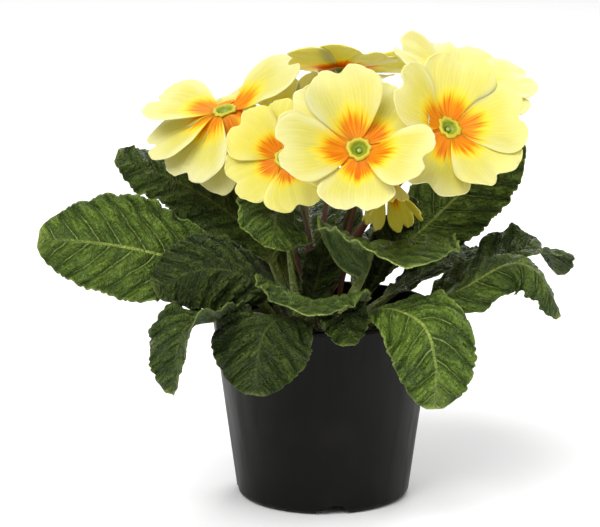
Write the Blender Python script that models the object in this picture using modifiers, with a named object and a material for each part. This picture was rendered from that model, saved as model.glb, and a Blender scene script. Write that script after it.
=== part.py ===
# Potted primrose: a plastic grower's pot, its soil, a rosette of puckered leaves and the
# yellow blooms, each on its own flower stalk. Blender 4.5, metres, +Z up.
# The origin is the middle of the pot's underside and the plant is seen from -Y.
import math
import random

import bmesh
import bpy
from mathutils import Matrix, Vector, noise

MM = 0.001
GAP = 0.35 * MM  # clearance between pieces that touch

# Pot
POT_TOP_RADIUS = 45 * MM
POT_FOOT_RADIUS = 35 * MM
POT_HEIGHT = 77 * MM
POT_WALL = 1.3 * MM
POT_FLOOR = 1.6 * MM
POT_CORNER = 3.0 * MM
POT_BEAD = 0.5 * MM
POT_BEAD_HEIGHT = 1.8 * MM
POT_SIDES = 36
NOTCH_COUNT = 4
NOTCH_TURN = math.radians(-84)  # the front notch sits a little right of the middle
NOTCH_DEPTH = 15 * MM
NOTCH_SHELL = 1.2 * MM
DRAIN_RADIUS = 2.2 * MM
# The notch as it is seen from outside: (along the foot, height) in mm.
NOTCH_OUTLINE = ((-7.5, -1), (-6.5, 1.6), (-2.5, 2.2), (-0.5, 3.9), (3.5, 3.9), (8.5, -1))

# Soil
SOIL_TOP = POT_HEIGHT - 9 * MM
SOIL_MOUND = 2.5 * MM
SOIL_LUMP = 0.7 * MM
SOIL_SIDES = 20
SOIL_RINGS = 3
ROOTING = 6 * MM  # how far a stalk reaches into its hole
HOLE_SLACK = 0.7 * MM
HOLE_SIDES = 5

# Leaves
CROWN_RING = {"outer": 19 * MM, "inner": 12.5 * MM}  # where leaf stalks stand, by age
LEAF_ROWS = 9
LEAF_COLUMNS = 6
LEAF_END = 0.985  # share of the midrib where the blade ends, just short of a point
LEAF_THICKNESS = 0.75 * MM
STALK_HALF_WIDTH = 1.9 * MM
STALK_THICKNESS = 2.4 * MM
RIB_THICKNESS = 1.2 * MM
RIB_HALF_WIDTH = 1.6 * MM
TOOTH = 0.05
PUCKER = 0.5 * MM
WAVES = 3.2
STALK_SHARE = 0.3  # share of a midrib that is bare stalk, where a leaf states none
STALK_FOLD = math.radians(20)

# Blooms, before each is scaled
PETAL_REACH = 31 * MM
PETAL_HALF_WIDTH = 16.5 * MM
PETAL_THICKNESS = 0.6 * MM
PETAL_ROOT = 3.2 * MM
PETAL_ROWS = 3
PETAL_COLUMNS = 6
PETAL_WIDEST = 0.74  # share of the petal's length at which it is widest
PETAL_TIP = 0.8  # its width at the tip against its width there
PETAL_NOTCH = 0.12
PETAL_NOTCH_SPREAD = 0.24
PETAL_SHOULDER = 0.17
PETAL_CUP = 1.4 * MM
PETAL_LEVEL = 1.3 * MM  # how far a petal stands over the one that it laps
THROAT_RADIUS = 4.2 * MM
TUBE_RADIUS = 2.6 * MM
TUBE_BORE = 1.8 * MM
TUBE_LENGTH = 12 * MM
TUBE_SIDES = 8
CALYX_RADIUS = 4.2 * MM
CALYX_LENGTH = 8.2 * MM
CALYX_WALL = 0.7 * MM
CALYX_TEETH = 2.0 * MM
CALYX_SIDES = 10  # two to each of the five teeth
STYLE_RADIUS = 0.55 * MM
STIGMA_RADIUS = 1.0 * MM
FLOWER_STALK_RADIUS = 0.95 * MM
FLOWER_STALK_STEPS = 6
FLOWER_STALK_RING = 6.5 * MM

# Each leaf: the ring and heading (degrees, 0 is +X, -90 faces the viewer) where its stalk
# stands, its half width in mm, the way its upper side faces, its midrib in mm, how far each
# half is folded up and curls (degrees, left and right of the midrib with the tip away from
# the reader), and the height of its wavy margin in mm. A leaf may also state the share of its
# midrib that is bare stalk, and how much its upper side turns to the sky half way along.
LEAVES = {
    "leaf_west": dict(
        ring="outer", heading=186, half_width=21, face=(0.05, -0.85, 0.5),
        midrib=((-30, -9, 86), (-45, -16, 95), (-60, -23, 102), (-84, -27, 108), (-112, -21, 109)),
        fold=(8, 8), curl=(-12, -10), wave=1.4,
    ),
    "leaf_north_west": dict(
        ring="inner", heading=168, half_width=14.5, face=(-0.1, -0.7, 0.7),
        midrib=((-24, 4, 102), (-38, 6, 114), (-54, 9, 124), (-70, 10, 131), (-83, 8, 137)),
        fold=(6, 6), curl=(-10, -30), wave=2.4,
    ),
    "leaf_north": dict(
        ring="inner", heading=132, half_width=14, face=(0.3, -0.8, 0.3),
        midrib=((-20, 15, 100), (-32, 23, 115), (-40, 27, 129), (-45, 29, 141)),
        fold=(8, 8), curl=(0, 0), wave=1.3,
    ),
    "leaf_front_high": dict(
        ring="inner", heading=-146, half_width=17, face=(0.45, -0.7, 0.55),
        midrib=((-12, -13, 98), (-14, -15, 112), (-17, -23, 120), (-19, -34, 118), (-20, -41, 109)),
        fold=(4, 4), curl=(-10, -10), wave=1.4, stalk=0.56,
    ),
    "leaf_south_west": dict(
        ring="outer", heading=212, half_width=17, face=(0.0, -0.7, 0.7),
        midrib=((-20, -18, 86), (-33, -29, 97), (-48, -36.5, 100), (-66, -41.3, 93.5)),
        fold=(-4, 4), curl=(-30, -16), wave=1.4,
    ),
    "leaf_front_left": dict(
        ring="outer", heading=-106, half_width=20, face=(-0.1, -0.95, 0.3),
        midrib=((-12, -32, 80), (-18, -47, 83), (-24, -59, 78), (-27, -64, 57)),
        fold=(2, -8), curl=(-14, -14), wave=1.4, arch=0.6, stalk=0.36,
    ),
    "leaf_front_left_curled": dict(
        ring="outer", heading=-132, half_width=15, face=(-0.35, -0.9, 0.3),
        midrib=((-27, -28, 80), (-42, -46, 83.3), (-54, -61, 81), (-58, -66, 58)),
        fold=(44, -8), curl=(30, -12), wave=1.2, arch=0.6, stalk=0.36,
    ),
    "leaf_front": dict(
        ring="inner", heading=-90, half_width=23, face=(0.0, -0.05, 1.0),
        midrib=((-2, -24, 84), (-5, -46, 90), (-6, -66, 89)),
        fold=(2, 8), curl=(12, 26), wave=1.2, arch=0.6,
    ),
    "leaf_front_right_high": dict(
        ring="inner", heading=-62, half_width=29, face=(0.1, -0.55, 0.85),
        midrib=((15, -14, 93), (19, -23, 105), (24, -40, 108), (31, -61, 106)),
        fold=(6, 28), curl=(-10, 4), wave=1.3, stalk=0.38,
    ),
    "leaf_north_east": dict(
        ring="inner", heading=30, half_width=18, face=(-0.2, -0.85, 0.45),
        midrib=((24, 8, 94), (38, 8, 105), (60, 10, 126), (79, 7, 144)),
        fold=(6, 6), curl=(-8, -8), wave=1.3,
    ),
    "leaf_east": dict(
        ring="outer", heading=-8, half_width=17, face=(0.1, 0.15, 1.0),
        midrib=((28, -7, 76), (42, -12, 80), (59, -12, 90), (75, -7, 98), (89, 1, 99), (95, 7, 88)),
        fold=(26, 20), curl=(10, -20), wave=2.0, stalk=0.16,
    ),
    "leaf_south_east": dict(
        ring="outer", heading=-32, half_width=12, face=(0.4, -0.5, 0.8),
        midrib=((32, -22, 80), (52, -38, 92.5), (72, -38, 103), (84, -39, 98), (92, -36, 81)),
        fold=(-14, -14), curl=(-40, -40), wave=1.4, stalk=0.26,
    ),
    "leaf_front_right": dict(
        ring="outer", heading=-54, half_width=17, face=(0.1, -0.95, 0.3),
        midrib=((18, -34, 83), (28, -49, 87), (38, -61, 83), (42, -64, 69), (42, -62, 51)),
        fold=(6, 6), curl=(-16, -16), wave=1.5, arch=0.6, stalk=0.36,
    ),
    "leaf_front_small": dict(
        ring="outer", heading=-80, half_width=9.5, face=(0.0, -0.9, 0.45),
        midrib=((4, -30, 79), (7.5, -45, 84), (9, -57, 75)),
        fold=(4, 4), curl=(-14, -14), wave=1.0, arch=0.6,
    ),
    "leaf_heart_left": dict(
        ring="inner", heading=-118, half_width=8, face=(0.4, -0.8, 0.2),
        midrib=((-4, -13, 84), (-1, -16, 97), (2, -17, 109)),
        fold=(12, 12), curl=(0, 0), wave=0.8,
    ),
    "leaf_heart_east": dict(
        ring="inner", heading=4, half_width=9, face=(-0.5, -0.8, 0.2),
        midrib=((23, 0, 92), (30, -1, 107), (37, -2, 121)),
        fold=(34, 34), curl=(10, 10), wave=1.0,
    ),
    "leaf_back_left": dict(
        ring="outer", heading=128, half_width=19, face=(-0.2, 0.25, 1.0),
        midrib=((-26, 32, 88), (-46, 56, 101), (-62, 76, 96)),
        fold=(8, 8), curl=(-14, -14), wave=1.5, stalk=0.14,
    ),
    "leaf_back": dict(
        ring="outer", heading=94, half_width=22, face=(0.0, 0.1, 1.0),
        midrib=((-3, 32, 90), (-6, 60, 106), (-9, 88, 102)),
        fold=(8, 8), curl=(-14, -14), wave=1.5, arch=0.6, stalk=0.12,
    ),
    "leaf_back_right": dict(
        ring="outer", heading=60, half_width=19, face=(0.2, 0.25, 1.0),
        midrib=((23, 32, 88), (42, 57, 101), (57, 77, 94)),
        fold=(8, 8), curl=(-14, -14), wave=1.5, stalk=0.2,
    ),
    "leaf_east_back": dict(
        ring="outer", heading=28, half_width=16, face=(0.4, 0.3, 1.0),
        midrib=((37, 20, 84), (62, 35, 92), (82, 46, 84)),
        fold=(8, 8), curl=(-14, -14), wave=1.5, stalk=0.24,
    ),
}

# Each bloom: the middle of its throat in mm, the way it faces, its size, and its petals from
# the right and round to the left as the bloom is looked into. A petal has its bearing and its
# rise from flat in degrees, and its level over the petals that it laps.
BLOOMS = {
    "bloom_middle": dict(
        throat=(13, -48, 149), face=(-0.05, -0.8, 0.59), size=1.07,
        petals=((-26, 28, 2), (56, -6, -1), (104, 18, 0), (150, 18, -1), (188, 20, 1), (267, 24, -1)),
    ),
    "bloom_small": dict(
        throat=(-15, -31, 142.5), face=(-0.15, -0.85, 0.5), size=0.76,
        petals=((-8, 14, 0), (75, 14, -1), (143, 12, 1), (207, 8, 0), (286, 8, 1)),
    ),
    "bloom_left": dict(
        throat=(-39, -7, 157), face=(-0.2, -0.3, 0.93), size=1.11,
        petals=((18, 20, 1), (104, -16, 0), (150, 2, 1), (186, -18, 0), (226, -36, 1), (276, -48, -1)),
    ),
    "bloom_right": dict(
        throat=(47.6, -35, 155), face=(0.33, -0.7, 0.63), size=0.98,
        petals=((12, 18, 1), (84, 20, 0), (164, 26, 1), (250, 0, -1), (312, 16, 0)),
    ),
    "bloom_back_right": dict(
        throat=(55, 14, 164), face=(0.25, -0.3, 0.92), size=1.0,
        petals=((20, 10, 1), (92, 10, -1), (164, 14, 1), (236, 10, -1), (308, 10, 0)),
    ),
    "bloom_back": dict(
        throat=(7.5, 33, 168), face=(0.05, 0.38, 0.9), size=1.0,
        petals=((0, 4, 1), (72, 8, -1), (144, 8, 1), (216, 2, -1), (288, -1, 0)),
    ),
    "bloom_back_left": dict(
        throat=(-14.3, 28.5, 149), face=(-0.25, 0.45, 0.85), size=0.72,
        petals=((-30, 30, 1), (42, 26, -1), (114, 24, 1), (186, 24, -1), (258, 34, 0)),
    ),
    "bloom_low": dict(
        throat=(25, -22, 128.5), face=(0.1, -0.6, -0.75), size=0.6,
        petals=((10, 56, 1), (82, 56, -1), (154, 56, 1), (226, 56, -1), (298, 56, 0)),
    ),
}


def smooth_step(low, high, value):
    share = min(1.0, max(0.0, (value - low) / (high - low)))
    return share * share * (3 - 2 * share)


def new_material(name, colour, roughness, metallic=0.0):
    material = bpy.data.materials.new(name)
    material.use_nodes = True
    shader = material.node_tree.nodes["Principled BSDF"]
    shader.inputs["Base Color"].default_value = (*colour, 1)
    shader.inputs["Roughness"].default_value = roughness
    shader.inputs["Metallic"].default_value = metallic
    return material


def new_collection(name, parent=None):
    collection = bpy.data.collections.new(name)
    (parent or bpy.context.scene.collection).children.link(collection)
    return collection


def add_object(name, mesh, collection, material=None):
    thing = bpy.data.objects.new(name, mesh)
    collection.objects.link(thing)
    if material:
        mesh.materials.append(material)
    return thing


def make_cutter(thing):
    thing.hide_render = True
    thing.display_type = "WIRE"


def add_boolean(thing, operation, other, solver="EXACT"):
    modifier = thing.modifiers.new(operation.title(), "BOOLEAN")
    modifier.operation = operation
    modifier.solver = solver
    if isinstance(other, bpy.types.Collection):
        modifier.operand_type = "COLLECTION"
        modifier.collection = other
    else:
        modifier.object = other


def apply_modifiers(thing, material=None):
    """Keeps the object's evaluated mesh in place of its modifiers."""
    bpy.context.view_layer.update()
    graph = bpy.context.evaluated_depsgraph_get()
    mesh = bpy.data.meshes.new_from_object(thing.evaluated_get(graph))
    thing.modifiers.clear()
    thing.data = mesh
    if material and not mesh.materials:
        mesh.materials.append(material)


def merge_flat_faces(mesh):
    """Joins the flat slivers that a union leaves, and splits the result into triangles again."""
    shape = bmesh.new()
    shape.from_mesh(mesh)
    bmesh.ops.dissolve_limit(
        shape, angle_limit=math.radians(0.5), verts=shape.verts, edges=shape.edges
    )
    bmesh.ops.triangulate(shape, faces=shape.faces)
    shape.to_mesh(mesh)
    shape.free()


def turned(name, profile, sides, collection, material=None):
    """A profile of (radius, height) points, from the axis down its outer side, turned about Z."""
    mesh = bpy.data.meshes.new(name)
    shape = bmesh.new()
    points = [shape.verts.new((radius, 0, height)) for radius, height in profile]
    for first, second in zip(points, points[1:]):
        shape.edges.new((first, second))
    shape.to_mesh(mesh)
    shape.free()
    thing = add_object(name, mesh, collection, material)
    screw = thing.modifiers.new("Screw", "SCREW")
    screw.steps = sides
    screw.render_steps = sides
    screw.use_merge_vertices = True
    screw.merge_threshold = 0.02 * MM
    return thing


def upright_hole(name, radius, depth, sides, collection):
    """A cutter along Z whose flat sides stand at the radius."""
    mesh = bpy.data.meshes.new(name)
    shape = bmesh.new()
    corner = radius / math.cos(math.pi / sides)
    bmesh.ops.create_cone(
        shape, cap_ends=True, segments=sides, radius1=corner, radius2=corner, depth=depth
    )
    shape.to_mesh(mesh)
    shape.free()
    hole = add_object(name, mesh, collection)
    make_cutter(hole)
    return hole


# Pot


def pot_radius(height, inset=0.0):
    share = height / POT_HEIGHT
    return POT_FOOT_RADIUS + (POT_TOP_RADIUS - POT_FOOT_RADIUS) * share - inset


def corner_points(radius, height, corner, steps):
    """A rounded foot, from the wall round to the flat underside."""
    points = []
    for step in range(steps + 1):
        angle = math.pi / 2 * step / steps
        out = radius - corner + corner * math.cos(angle)
        points.append((out, height + corner - corner * math.sin(angle)))
    return points


def notch_prism(name, grow, length, collection):
    """The notch's outline pushed outwards along +X, grown by a margin."""
    mesh = bpy.data.meshes.new(name)
    shape = bmesh.new()
    ring = []
    for x, z in NOTCH_OUTLINE:
        side = grow if x > 0 else -grow
        rise = grow if z > 0 else 0
        ring.append(shape.verts.new((0, x * MM + side, z * MM + rise)))
    face = shape.faces.new(ring)
    pushed = bmesh.ops.extrude_face_region(shape, geom=[face])
    moved = [part for part in pushed["geom"] if isinstance(part, bmesh.types.BMVert)]
    bmesh.ops.translate(shape, verts=moved, vec=(length, 0, 0))
    bmesh.ops.recalc_face_normals(shape, faces=shape.faces)
    shape.to_mesh(mesh)
    shape.free()
    return add_object(name, mesh, collection)


def notch_place(index, out):
    turn = NOTCH_TURN + math.tau * index / NOTCH_COUNT
    return Matrix.Rotation(turn, 4, "Z") @ Matrix.Translation((out, 0, 0))


def notch_collection(name, grow, cutters):
    """One notch solid at each place round the foot, in a collection of its own."""
    group = new_collection(name, cutters)
    reach_in = NOTCH_DEPTH + grow
    for index in range(NOTCH_COUNT):
        prism = notch_prism(f"{name}_{index}", grow, reach_in + 4 * MM, group)
        prism.matrix_world = notch_place(index, POT_FOOT_RADIUS - reach_in)
        make_cutter(prism)
    return group


def drain_collection(cutters):
    """A drain hole through the roof of each notch, open to the soil."""
    group = new_collection("drain", cutters)
    middle = Vector((-NOTCH_DEPTH * 0.5, 1.5 * MM, 5 * MM))
    for index in range(NOTCH_COUNT):
        hole = upright_hole(f"drain_{index}", DRAIN_RADIUS, 5 * MM, 8, group)
        hole.matrix_world = notch_place(index, POT_FOOT_RADIUS) @ Matrix.Translation(middle)
    return group


def cavity_profile(inset, floor):
    """The inside of the pot, smaller by inset."""
    corner = POT_CORNER - POT_WALL
    radius = pot_radius(floor, POT_WALL + inset)
    top = POT_HEIGHT + 2 * MM
    profile = [(0, top), (pot_radius(top, POT_WALL + inset), top)]
    return profile + corner_points(radius, floor, corner, 2) + [(0, floor)]


def build_pot(parts, cutters, material):
    """A tapered pot with a rounded foot, a thin bead at the rim and notched drain pockets."""
    bead = POT_TOP_RADIUS + POT_BEAD
    under_bead = POT_HEIGHT - POT_BEAD_HEIGHT
    profile = [
        (0, POT_HEIGHT),
        (bead, POT_HEIGHT),
        (bead, under_bead),
        (pot_radius(under_bead - POT_BEAD), under_bead - POT_BEAD),
    ]
    profile += corner_points(POT_FOOT_RADIUS, 0, POT_CORNER, 3) + [(0, 0)]
    pot = turned("pot", profile, POT_SIDES, parts, material)
    cavity = turned("pot_cavity", cavity_profile(0, POT_FLOOR), POT_SIDES, cutters)
    add_boolean(cavity, "DIFFERENCE", notch_collection("notch_shell", NOTCH_SHELL, cutters))
    make_cutter(cavity)
    add_boolean(pot, "DIFFERENCE", cavity)
    add_boolean(pot, "DIFFERENCE", notch_collection("notch", 0, cutters))
    add_boolean(pot, "DIFFERENCE", drain_collection(cutters))


# Soil


def soil_rise(x, y, edge):
    """How far the lumpy, slightly mounded soil stands over its level at the wall."""
    out = math.hypot(x, y) / edge
    lumps = noise.noise(Vector((x, y, 0)) / (6 * MM))
    return (SOIL_MOUND * (1 - out * out) + SOIL_LUMP * lumps) * smooth_step(1.0, 0.85, out)


def build_soil(parts, cutters, material, seats):
    """The soil fills the pot up to a lumpy top, with a plain hole for each stalk."""
    inside = cavity_profile(GAP, POT_FLOOR + GAP)[2:]
    edge = pot_radius(SOIL_TOP, POT_WALL + GAP)
    rings = [(edge * ring / SOIL_RINGS, SOIL_TOP) for ring in range(SOIL_RINGS + 1)]
    soil = turned("soil", rings + inside, SOIL_SIDES, parts, material)
    apply_modifiers(soil)
    for vertex in soil.data.vertices:
        if abs(vertex.co.z - SOIL_TOP) < 0.01 * MM:
            vertex.co.z += soil_rise(vertex.co.x, vertex.co.y, edge)
    add_boolean(soil, "DIFFERENCE", notch_collection("soil_notch", NOTCH_SHELL + GAP, cutters))
    holes = new_collection("soil_hole", cutters)
    for index, (x, y, radius) in enumerate(seats):
        hole = upright_hole(f"soil_hole_{index}", radius + HOLE_SLACK, 20 * MM, HOLE_SIDES, holes)
        hole.location = (x, y, SOIL_TOP - ROOTING - GAP + 10 * MM)
    add_boolean(soil, "DIFFERENCE", holes)


# Leaves


def spline_point(points, share):
    """A point on the smooth curve through the points, evenly shared between them."""
    place = share * (len(points) - 1)
    index = min(int(place), len(points) - 2)
    t = place - index
    start, end = points[index], points[index + 1]
    before = points[index - 1] if index > 0 else start * 2 - end
    after = points[index + 2] if index + 2 < len(points) else end * 2 - start
    bend = 2 * before - 5 * start + 4 * end - after
    turn = 3 * start - before - 3 * end + after
    return 0.5 * (2 * start + (end - before) * t + bend * t * t + turn * t * t * t)


def measured_curve(foot, points, steps=120):
    """A straight foot, then points along the smooth curve, and how far along each one lies."""
    line = [foot] + [spline_point(points, step / steps) for step in range(steps + 1)]
    along = [0.0]
    for first, second in zip(line, line[1:]):
        along.append(along[-1] + (second - first).length)
    return line, along


def point_at(curve, share):
    line, along = curve
    wanted = min(1.0, max(0.0, share)) * along[-1]
    for index in range(len(line) - 1):
        if along[index + 1] >= wanted:
            part = (wanted - along[index]) / max(along[index + 1] - along[index], 1e-9)
            return line[index].lerp(line[index + 1], part)
    return line[-1].copy()


def stalk_share(leaf):
    """How much of the midrib is bare stalk."""
    return leaf.get("stalk", STALK_SHARE)


def leaf_outline(leaf, share):
    """Half width of a primrose leaf along its midrib, from 0 on the stalk to 1 at its widest."""
    bare = stalk_share(leaf)
    if share <= bare:
        return 0.0
    along = (share - bare) / (1 - bare)
    return max(0.0, math.sin(math.pi * along**1.25)) ** 0.62


def arc_offset(width, fold, curl):
    """How far out and up a half reaches that leaves the midrib at fold and bends by curl."""
    if abs(curl) < 1e-3:
        return width * math.cos(fold), width * math.sin(fold)
    end = fold + curl
    out = width / curl * (math.sin(end) - math.sin(fold))
    up = width / curl * (math.cos(fold) - math.cos(end))
    return out, up


def leaf_seat(leaf):
    heading = math.radians(leaf["heading"])
    return Vector((math.cos(heading), math.sin(heading), 0)) * CROWN_RING[leaf["ring"]]


def leaf_curve(leaf):
    """The leaf's upper midline: straight up out of its hole, then along the midrib."""
    seat = leaf_seat(leaf)
    foot = seat * (1 - STALK_THICKNESS / 2 / seat.length)
    foot.z = SOIL_TOP - ROOTING + GAP
    neck = foot.copy()
    neck.z = SOIL_TOP + SOIL_MOUND + 1.0 * MM
    return measured_curve(foot, [neck] + [Vector(point) * MM for point in leaf["midrib"]])


def leaf_place(leaf, curve, share, across):
    """The upper surface at a share of the midrib and across it (-1 to 1), and the thickness."""
    hand = 0 if across < 0 else 1
    edge = abs(across)
    turn = smooth_step(0.1, stalk_share(leaf) + 0.12, share)
    tangent = (point_at(curve, share + 0.02) - point_at(curve, share - 0.02)).normalized()
    inward = -leaf_seat(leaf).normalized()
    arch = leaf.get("arch", 0)
    blend = smooth_step(0.1, 0.8, share) if arch else turn
    hint = inward.lerp(Vector(leaf["face"]).normalized(), blend)
    hint.z += 4 * arch * blend * (1 - blend)
    normal = (hint - tangent * hint.dot(tangent)).normalized()
    outline = leaf_outline(leaf, share)
    width = STALK_HALF_WIDTH + (leaf["half_width"] * MM - STALK_HALF_WIDTH) * outline
    width *= edge
    fold = math.radians(leaf["fold"][hand]) * turn + STALK_FOLD * (1 - turn)
    curl = math.radians(leaf["curl"][hand]) * turn * edge
    out, up = arc_offset(width, fold, curl)
    ripple = math.sin(math.tau * WAVES * share + 1.7 * hand + leaf["heading"])
    up += leaf["wave"] * MM * outline * edge * edge * ripple
    side = tangent.cross(normal)
    rib = smooth_step(1.05, 0.3, share) * RIB_THICKNESS * turn
    core = (STALK_THICKNESS - LEAF_THICKNESS) * (1 - turn) + rib
    thickness = LEAF_THICKNESS + core * math.exp(-((width / RIB_HALF_WIDTH) ** 2))
    place = point_at(curve, share) + side * math.copysign(out, across) + normal * up
    return place, normal, side * math.copysign(1, across), thickness


def row_share(curve, place):
    """Where a row of the blade lies on the midrib: one at the foot, and the rest past the neck."""
    neck = curve[1][1] / curve[1][-1]
    along = (place - 1 / LEAF_ROWS) / (1 - 1 / LEAF_ROWS)
    if along < 0:
        return neck * place * LEAF_ROWS
    return neck + (LEAF_END - neck) * (1 - (1 - along) ** 1.15)


def build_leaf(name, leaf, parts, material):
    """A wavy, toothed, puckered blade that narrows into its stalk, as one sheet made solid."""
    curve = leaf_curve(leaf)
    mesh = bpy.data.meshes.new(name)
    shape = bmesh.new()
    bmesh.ops.create_grid(shape, x_segments=LEAF_COLUMNS, y_segments=LEAF_ROWS, size=1)
    weights = shape.verts.layers.deform.verify()
    for vertex in shape.verts:
        across = vertex.co.x
        row = round((vertex.co.y + 1) / 2 * LEAF_ROWS)
        column = round((across + 1) / 2 * LEAF_COLUMNS)
        share = row_share(curve, row / LEAF_ROWS)
        place, normal, outward, thickness = leaf_place(leaf, curve, share, across)
        outline = leaf_outline(leaf, share)
        sign = (-1) ** (row + column)
        if abs(across) > 0.99:
            place += outward * sign * TOOTH * outline * leaf["half_width"] * MM
        elif abs(across) > 0.01:
            place += normal * sign * PUCKER * outline
        vertex.co = place
        vertex[weights][0] = thickness / STALK_THICKNESS
    shape.to_mesh(mesh)
    shape.free()
    thing = add_object(name, mesh, parts, material)
    thing.vertex_groups.new(name="thickness")
    mesh.shade_smooth()
    split = thing.modifiers.new("Split", "TRIANGULATE")
    split.quad_method = "FIXED"
    solid = thing.modifiers.new("Solidify", "SOLIDIFY")
    solid.thickness = STALK_THICKNESS
    solid.offset = -1
    solid.vertex_group = "thickness"


# Blooms


def petal_place(across, along, size, width, rise, level, ripple):
    """A point of a heart-shaped petal that lies along +X, its root at the throat."""
    reach = PETAL_REACH * size - PETAL_ROOT
    swell = math.sin(math.pi / 2 * min(1.0, along / PETAL_WIDEST))
    past = max(0.0, (along - PETAL_WIDEST) / (1 - PETAL_WIDEST))
    swell -= (1 - PETAL_TIP) * past**2
    root = PETAL_ROOT * width / size / PETAL_REACH
    half = root + (width - root) * swell
    dent = PETAL_NOTCH * math.exp(-((across / PETAL_NOTCH_SPREAD) ** 2)) * along**3
    shoulder = PETAL_SHOULDER * abs(across) ** 3 * along
    out = reach * along * (1 - dent - shoulder)
    up = out * math.sin(rise) * smooth_step(-0.1, 0.45, along)
    out *= math.cos(rise)
    up += level * smooth_step(0.0, 0.4, along)
    up += ripple * along * along * math.sin(2.8 * across + 9000 * ripple)
    up += PETAL_CUP * size * across * across * along
    return Vector((PETAL_ROOT + out, half * across, up))


def petal_sheet(name, size, width, rise, level, ripple):
    mesh = bpy.data.meshes.new(name)
    shape = bmesh.new()
    bmesh.ops.create_grid(shape, x_segments=PETAL_COLUMNS, y_segments=PETAL_ROWS, size=1)
    for vertex in shape.verts:
        across = -vertex.co.x
        along = ((vertex.co.y + 1) / 2) ** 0.85
        vertex.co = petal_place(across, along, size, width, rise, level, ripple)
    bmesh.ops.triangulate(shape, faces=shape.faces, quad_method="FIXED")
    shape.to_mesh(mesh)
    shape.free()
    return mesh


def bloom_matrix(bloom):
    """Z is the way the bloom faces, and X is to the right as it is looked into from the front."""
    facing = Vector(bloom["face"]).normalized()
    right = (Vector((1, 0, 0)) - facing * facing.x).normalized()
    turn = Matrix((right, facing.cross(right), facing)).transposed().to_4x4()
    return Matrix.Translation(Vector(bloom["throat"]) * MM) @ turn


def build_bloom(name, bloom, parts, scratch, material, luck):
    """The yellow corolla: lapped petals round a flared throat on a narrow tube."""
    size = bloom["size"]
    flare = THROAT_RADIUS * (0.5 + 0.5 * size)
    profile = [
        (flare, 0.5 * MM),
        (flare, -0.4 * MM),
        (TUBE_RADIUS, -2.4 * MM),
        (TUBE_RADIUS, -TUBE_LENGTH),
        (TUBE_BORE, -TUBE_LENGTH),
        (TUBE_BORE, -1.6 * MM),
        (flare - 1.2 * MM, 0.5 * MM),
        (flare, 0.5 * MM),
    ]
    corolla = turned(name, profile, TUBE_SIDES, parts, material)
    weld = corolla.modifiers.new("Weld", "WELD")
    weld.merge_threshold = 0.02 * MM
    apply_modifiers(corolla)
    petals = new_collection(f"{name}_petals", scratch)
    width = PETAL_HALF_WIDTH * size * min(1.0, 5.4 / len(bloom["petals"]))
    for index, (bearing, rise, level) in enumerate(bloom["petals"]):
        ripple = luck.uniform(0.5, 1.1) * MM * size
        petal_name = f"{name}_petal_{index}"
        rise = math.radians(rise + luck.uniform(-2, 2))
        rolled = width * math.cos(max(0.0, rise))
        sheet = petal_sheet(petal_name, size, rolled, rise, level * PETAL_LEVEL, ripple)
        petal = add_object(petal_name, sheet, petals)
        petal.matrix_world = Matrix.Rotation(math.radians(bearing), 4, "Z")
        solid = petal.modifiers.new("Solidify", "SOLIDIFY")
        solid.thickness = PETAL_THICKNESS
        solid.offset = 0
    add_boolean(corolla, "UNION", petals)
    apply_modifiers(corolla, material)
    merge_flat_faces(corolla.data)
    for petal in list(petals.objects):
        bpy.data.objects.remove(petal)
    corolla.data.shade_smooth()
    corolla.matrix_world = bloom_matrix(bloom)


def stalk_line(start, end, arrival):
    """The flower stalk's line: up out of the soil, then round to meet the bloom from behind."""
    points = [start]
    start = start + Vector((0, 0, ROOTING + SOIL_MOUND))
    reach = (end - start).length
    first = start + Vector((0, 0, reach * 0.45))
    second = end - arrival * reach * 0.3
    for step in range(FLOWER_STALK_STEPS + 1):
        t = step / FLOWER_STALK_STEPS
        far = 1 - t
        blend = first * 3 * t * far**2 + second * 3 * t**2 * far
        points.append(start * far**3 + blend + end * t**3)
    return points


def stalk_tube(name, points, collection):
    """A round tube along the points, as a mesh with welded caps."""
    line = bpy.data.curves.new(name, "CURVE")
    line.dimensions = "3D"
    line.bevel_depth = FLOWER_STALK_RADIUS
    line.bevel_resolution = 1
    line.use_fill_caps = True
    spline = line.splines.new("POLY")
    spline.points.add(len(points) - 1)
    for point, place in zip(spline.points, points):
        point.co = (*place, 1)
    guide = bpy.data.objects.new(f"{name}_line", line)
    collection.objects.link(guide)
    bpy.context.view_layer.update()
    graph = bpy.context.evaluated_depsgraph_get()
    mesh = bpy.data.meshes.new_from_object(guide.evaluated_get(graph))
    bpy.data.objects.remove(guide)
    shape = bmesh.new()
    shape.from_mesh(mesh)
    bmesh.ops.remove_doubles(shape, verts=shape.verts, dist=0.01 * MM)
    shape.to_mesh(mesh)
    shape.free()
    return add_object(name, mesh, collection)


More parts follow.
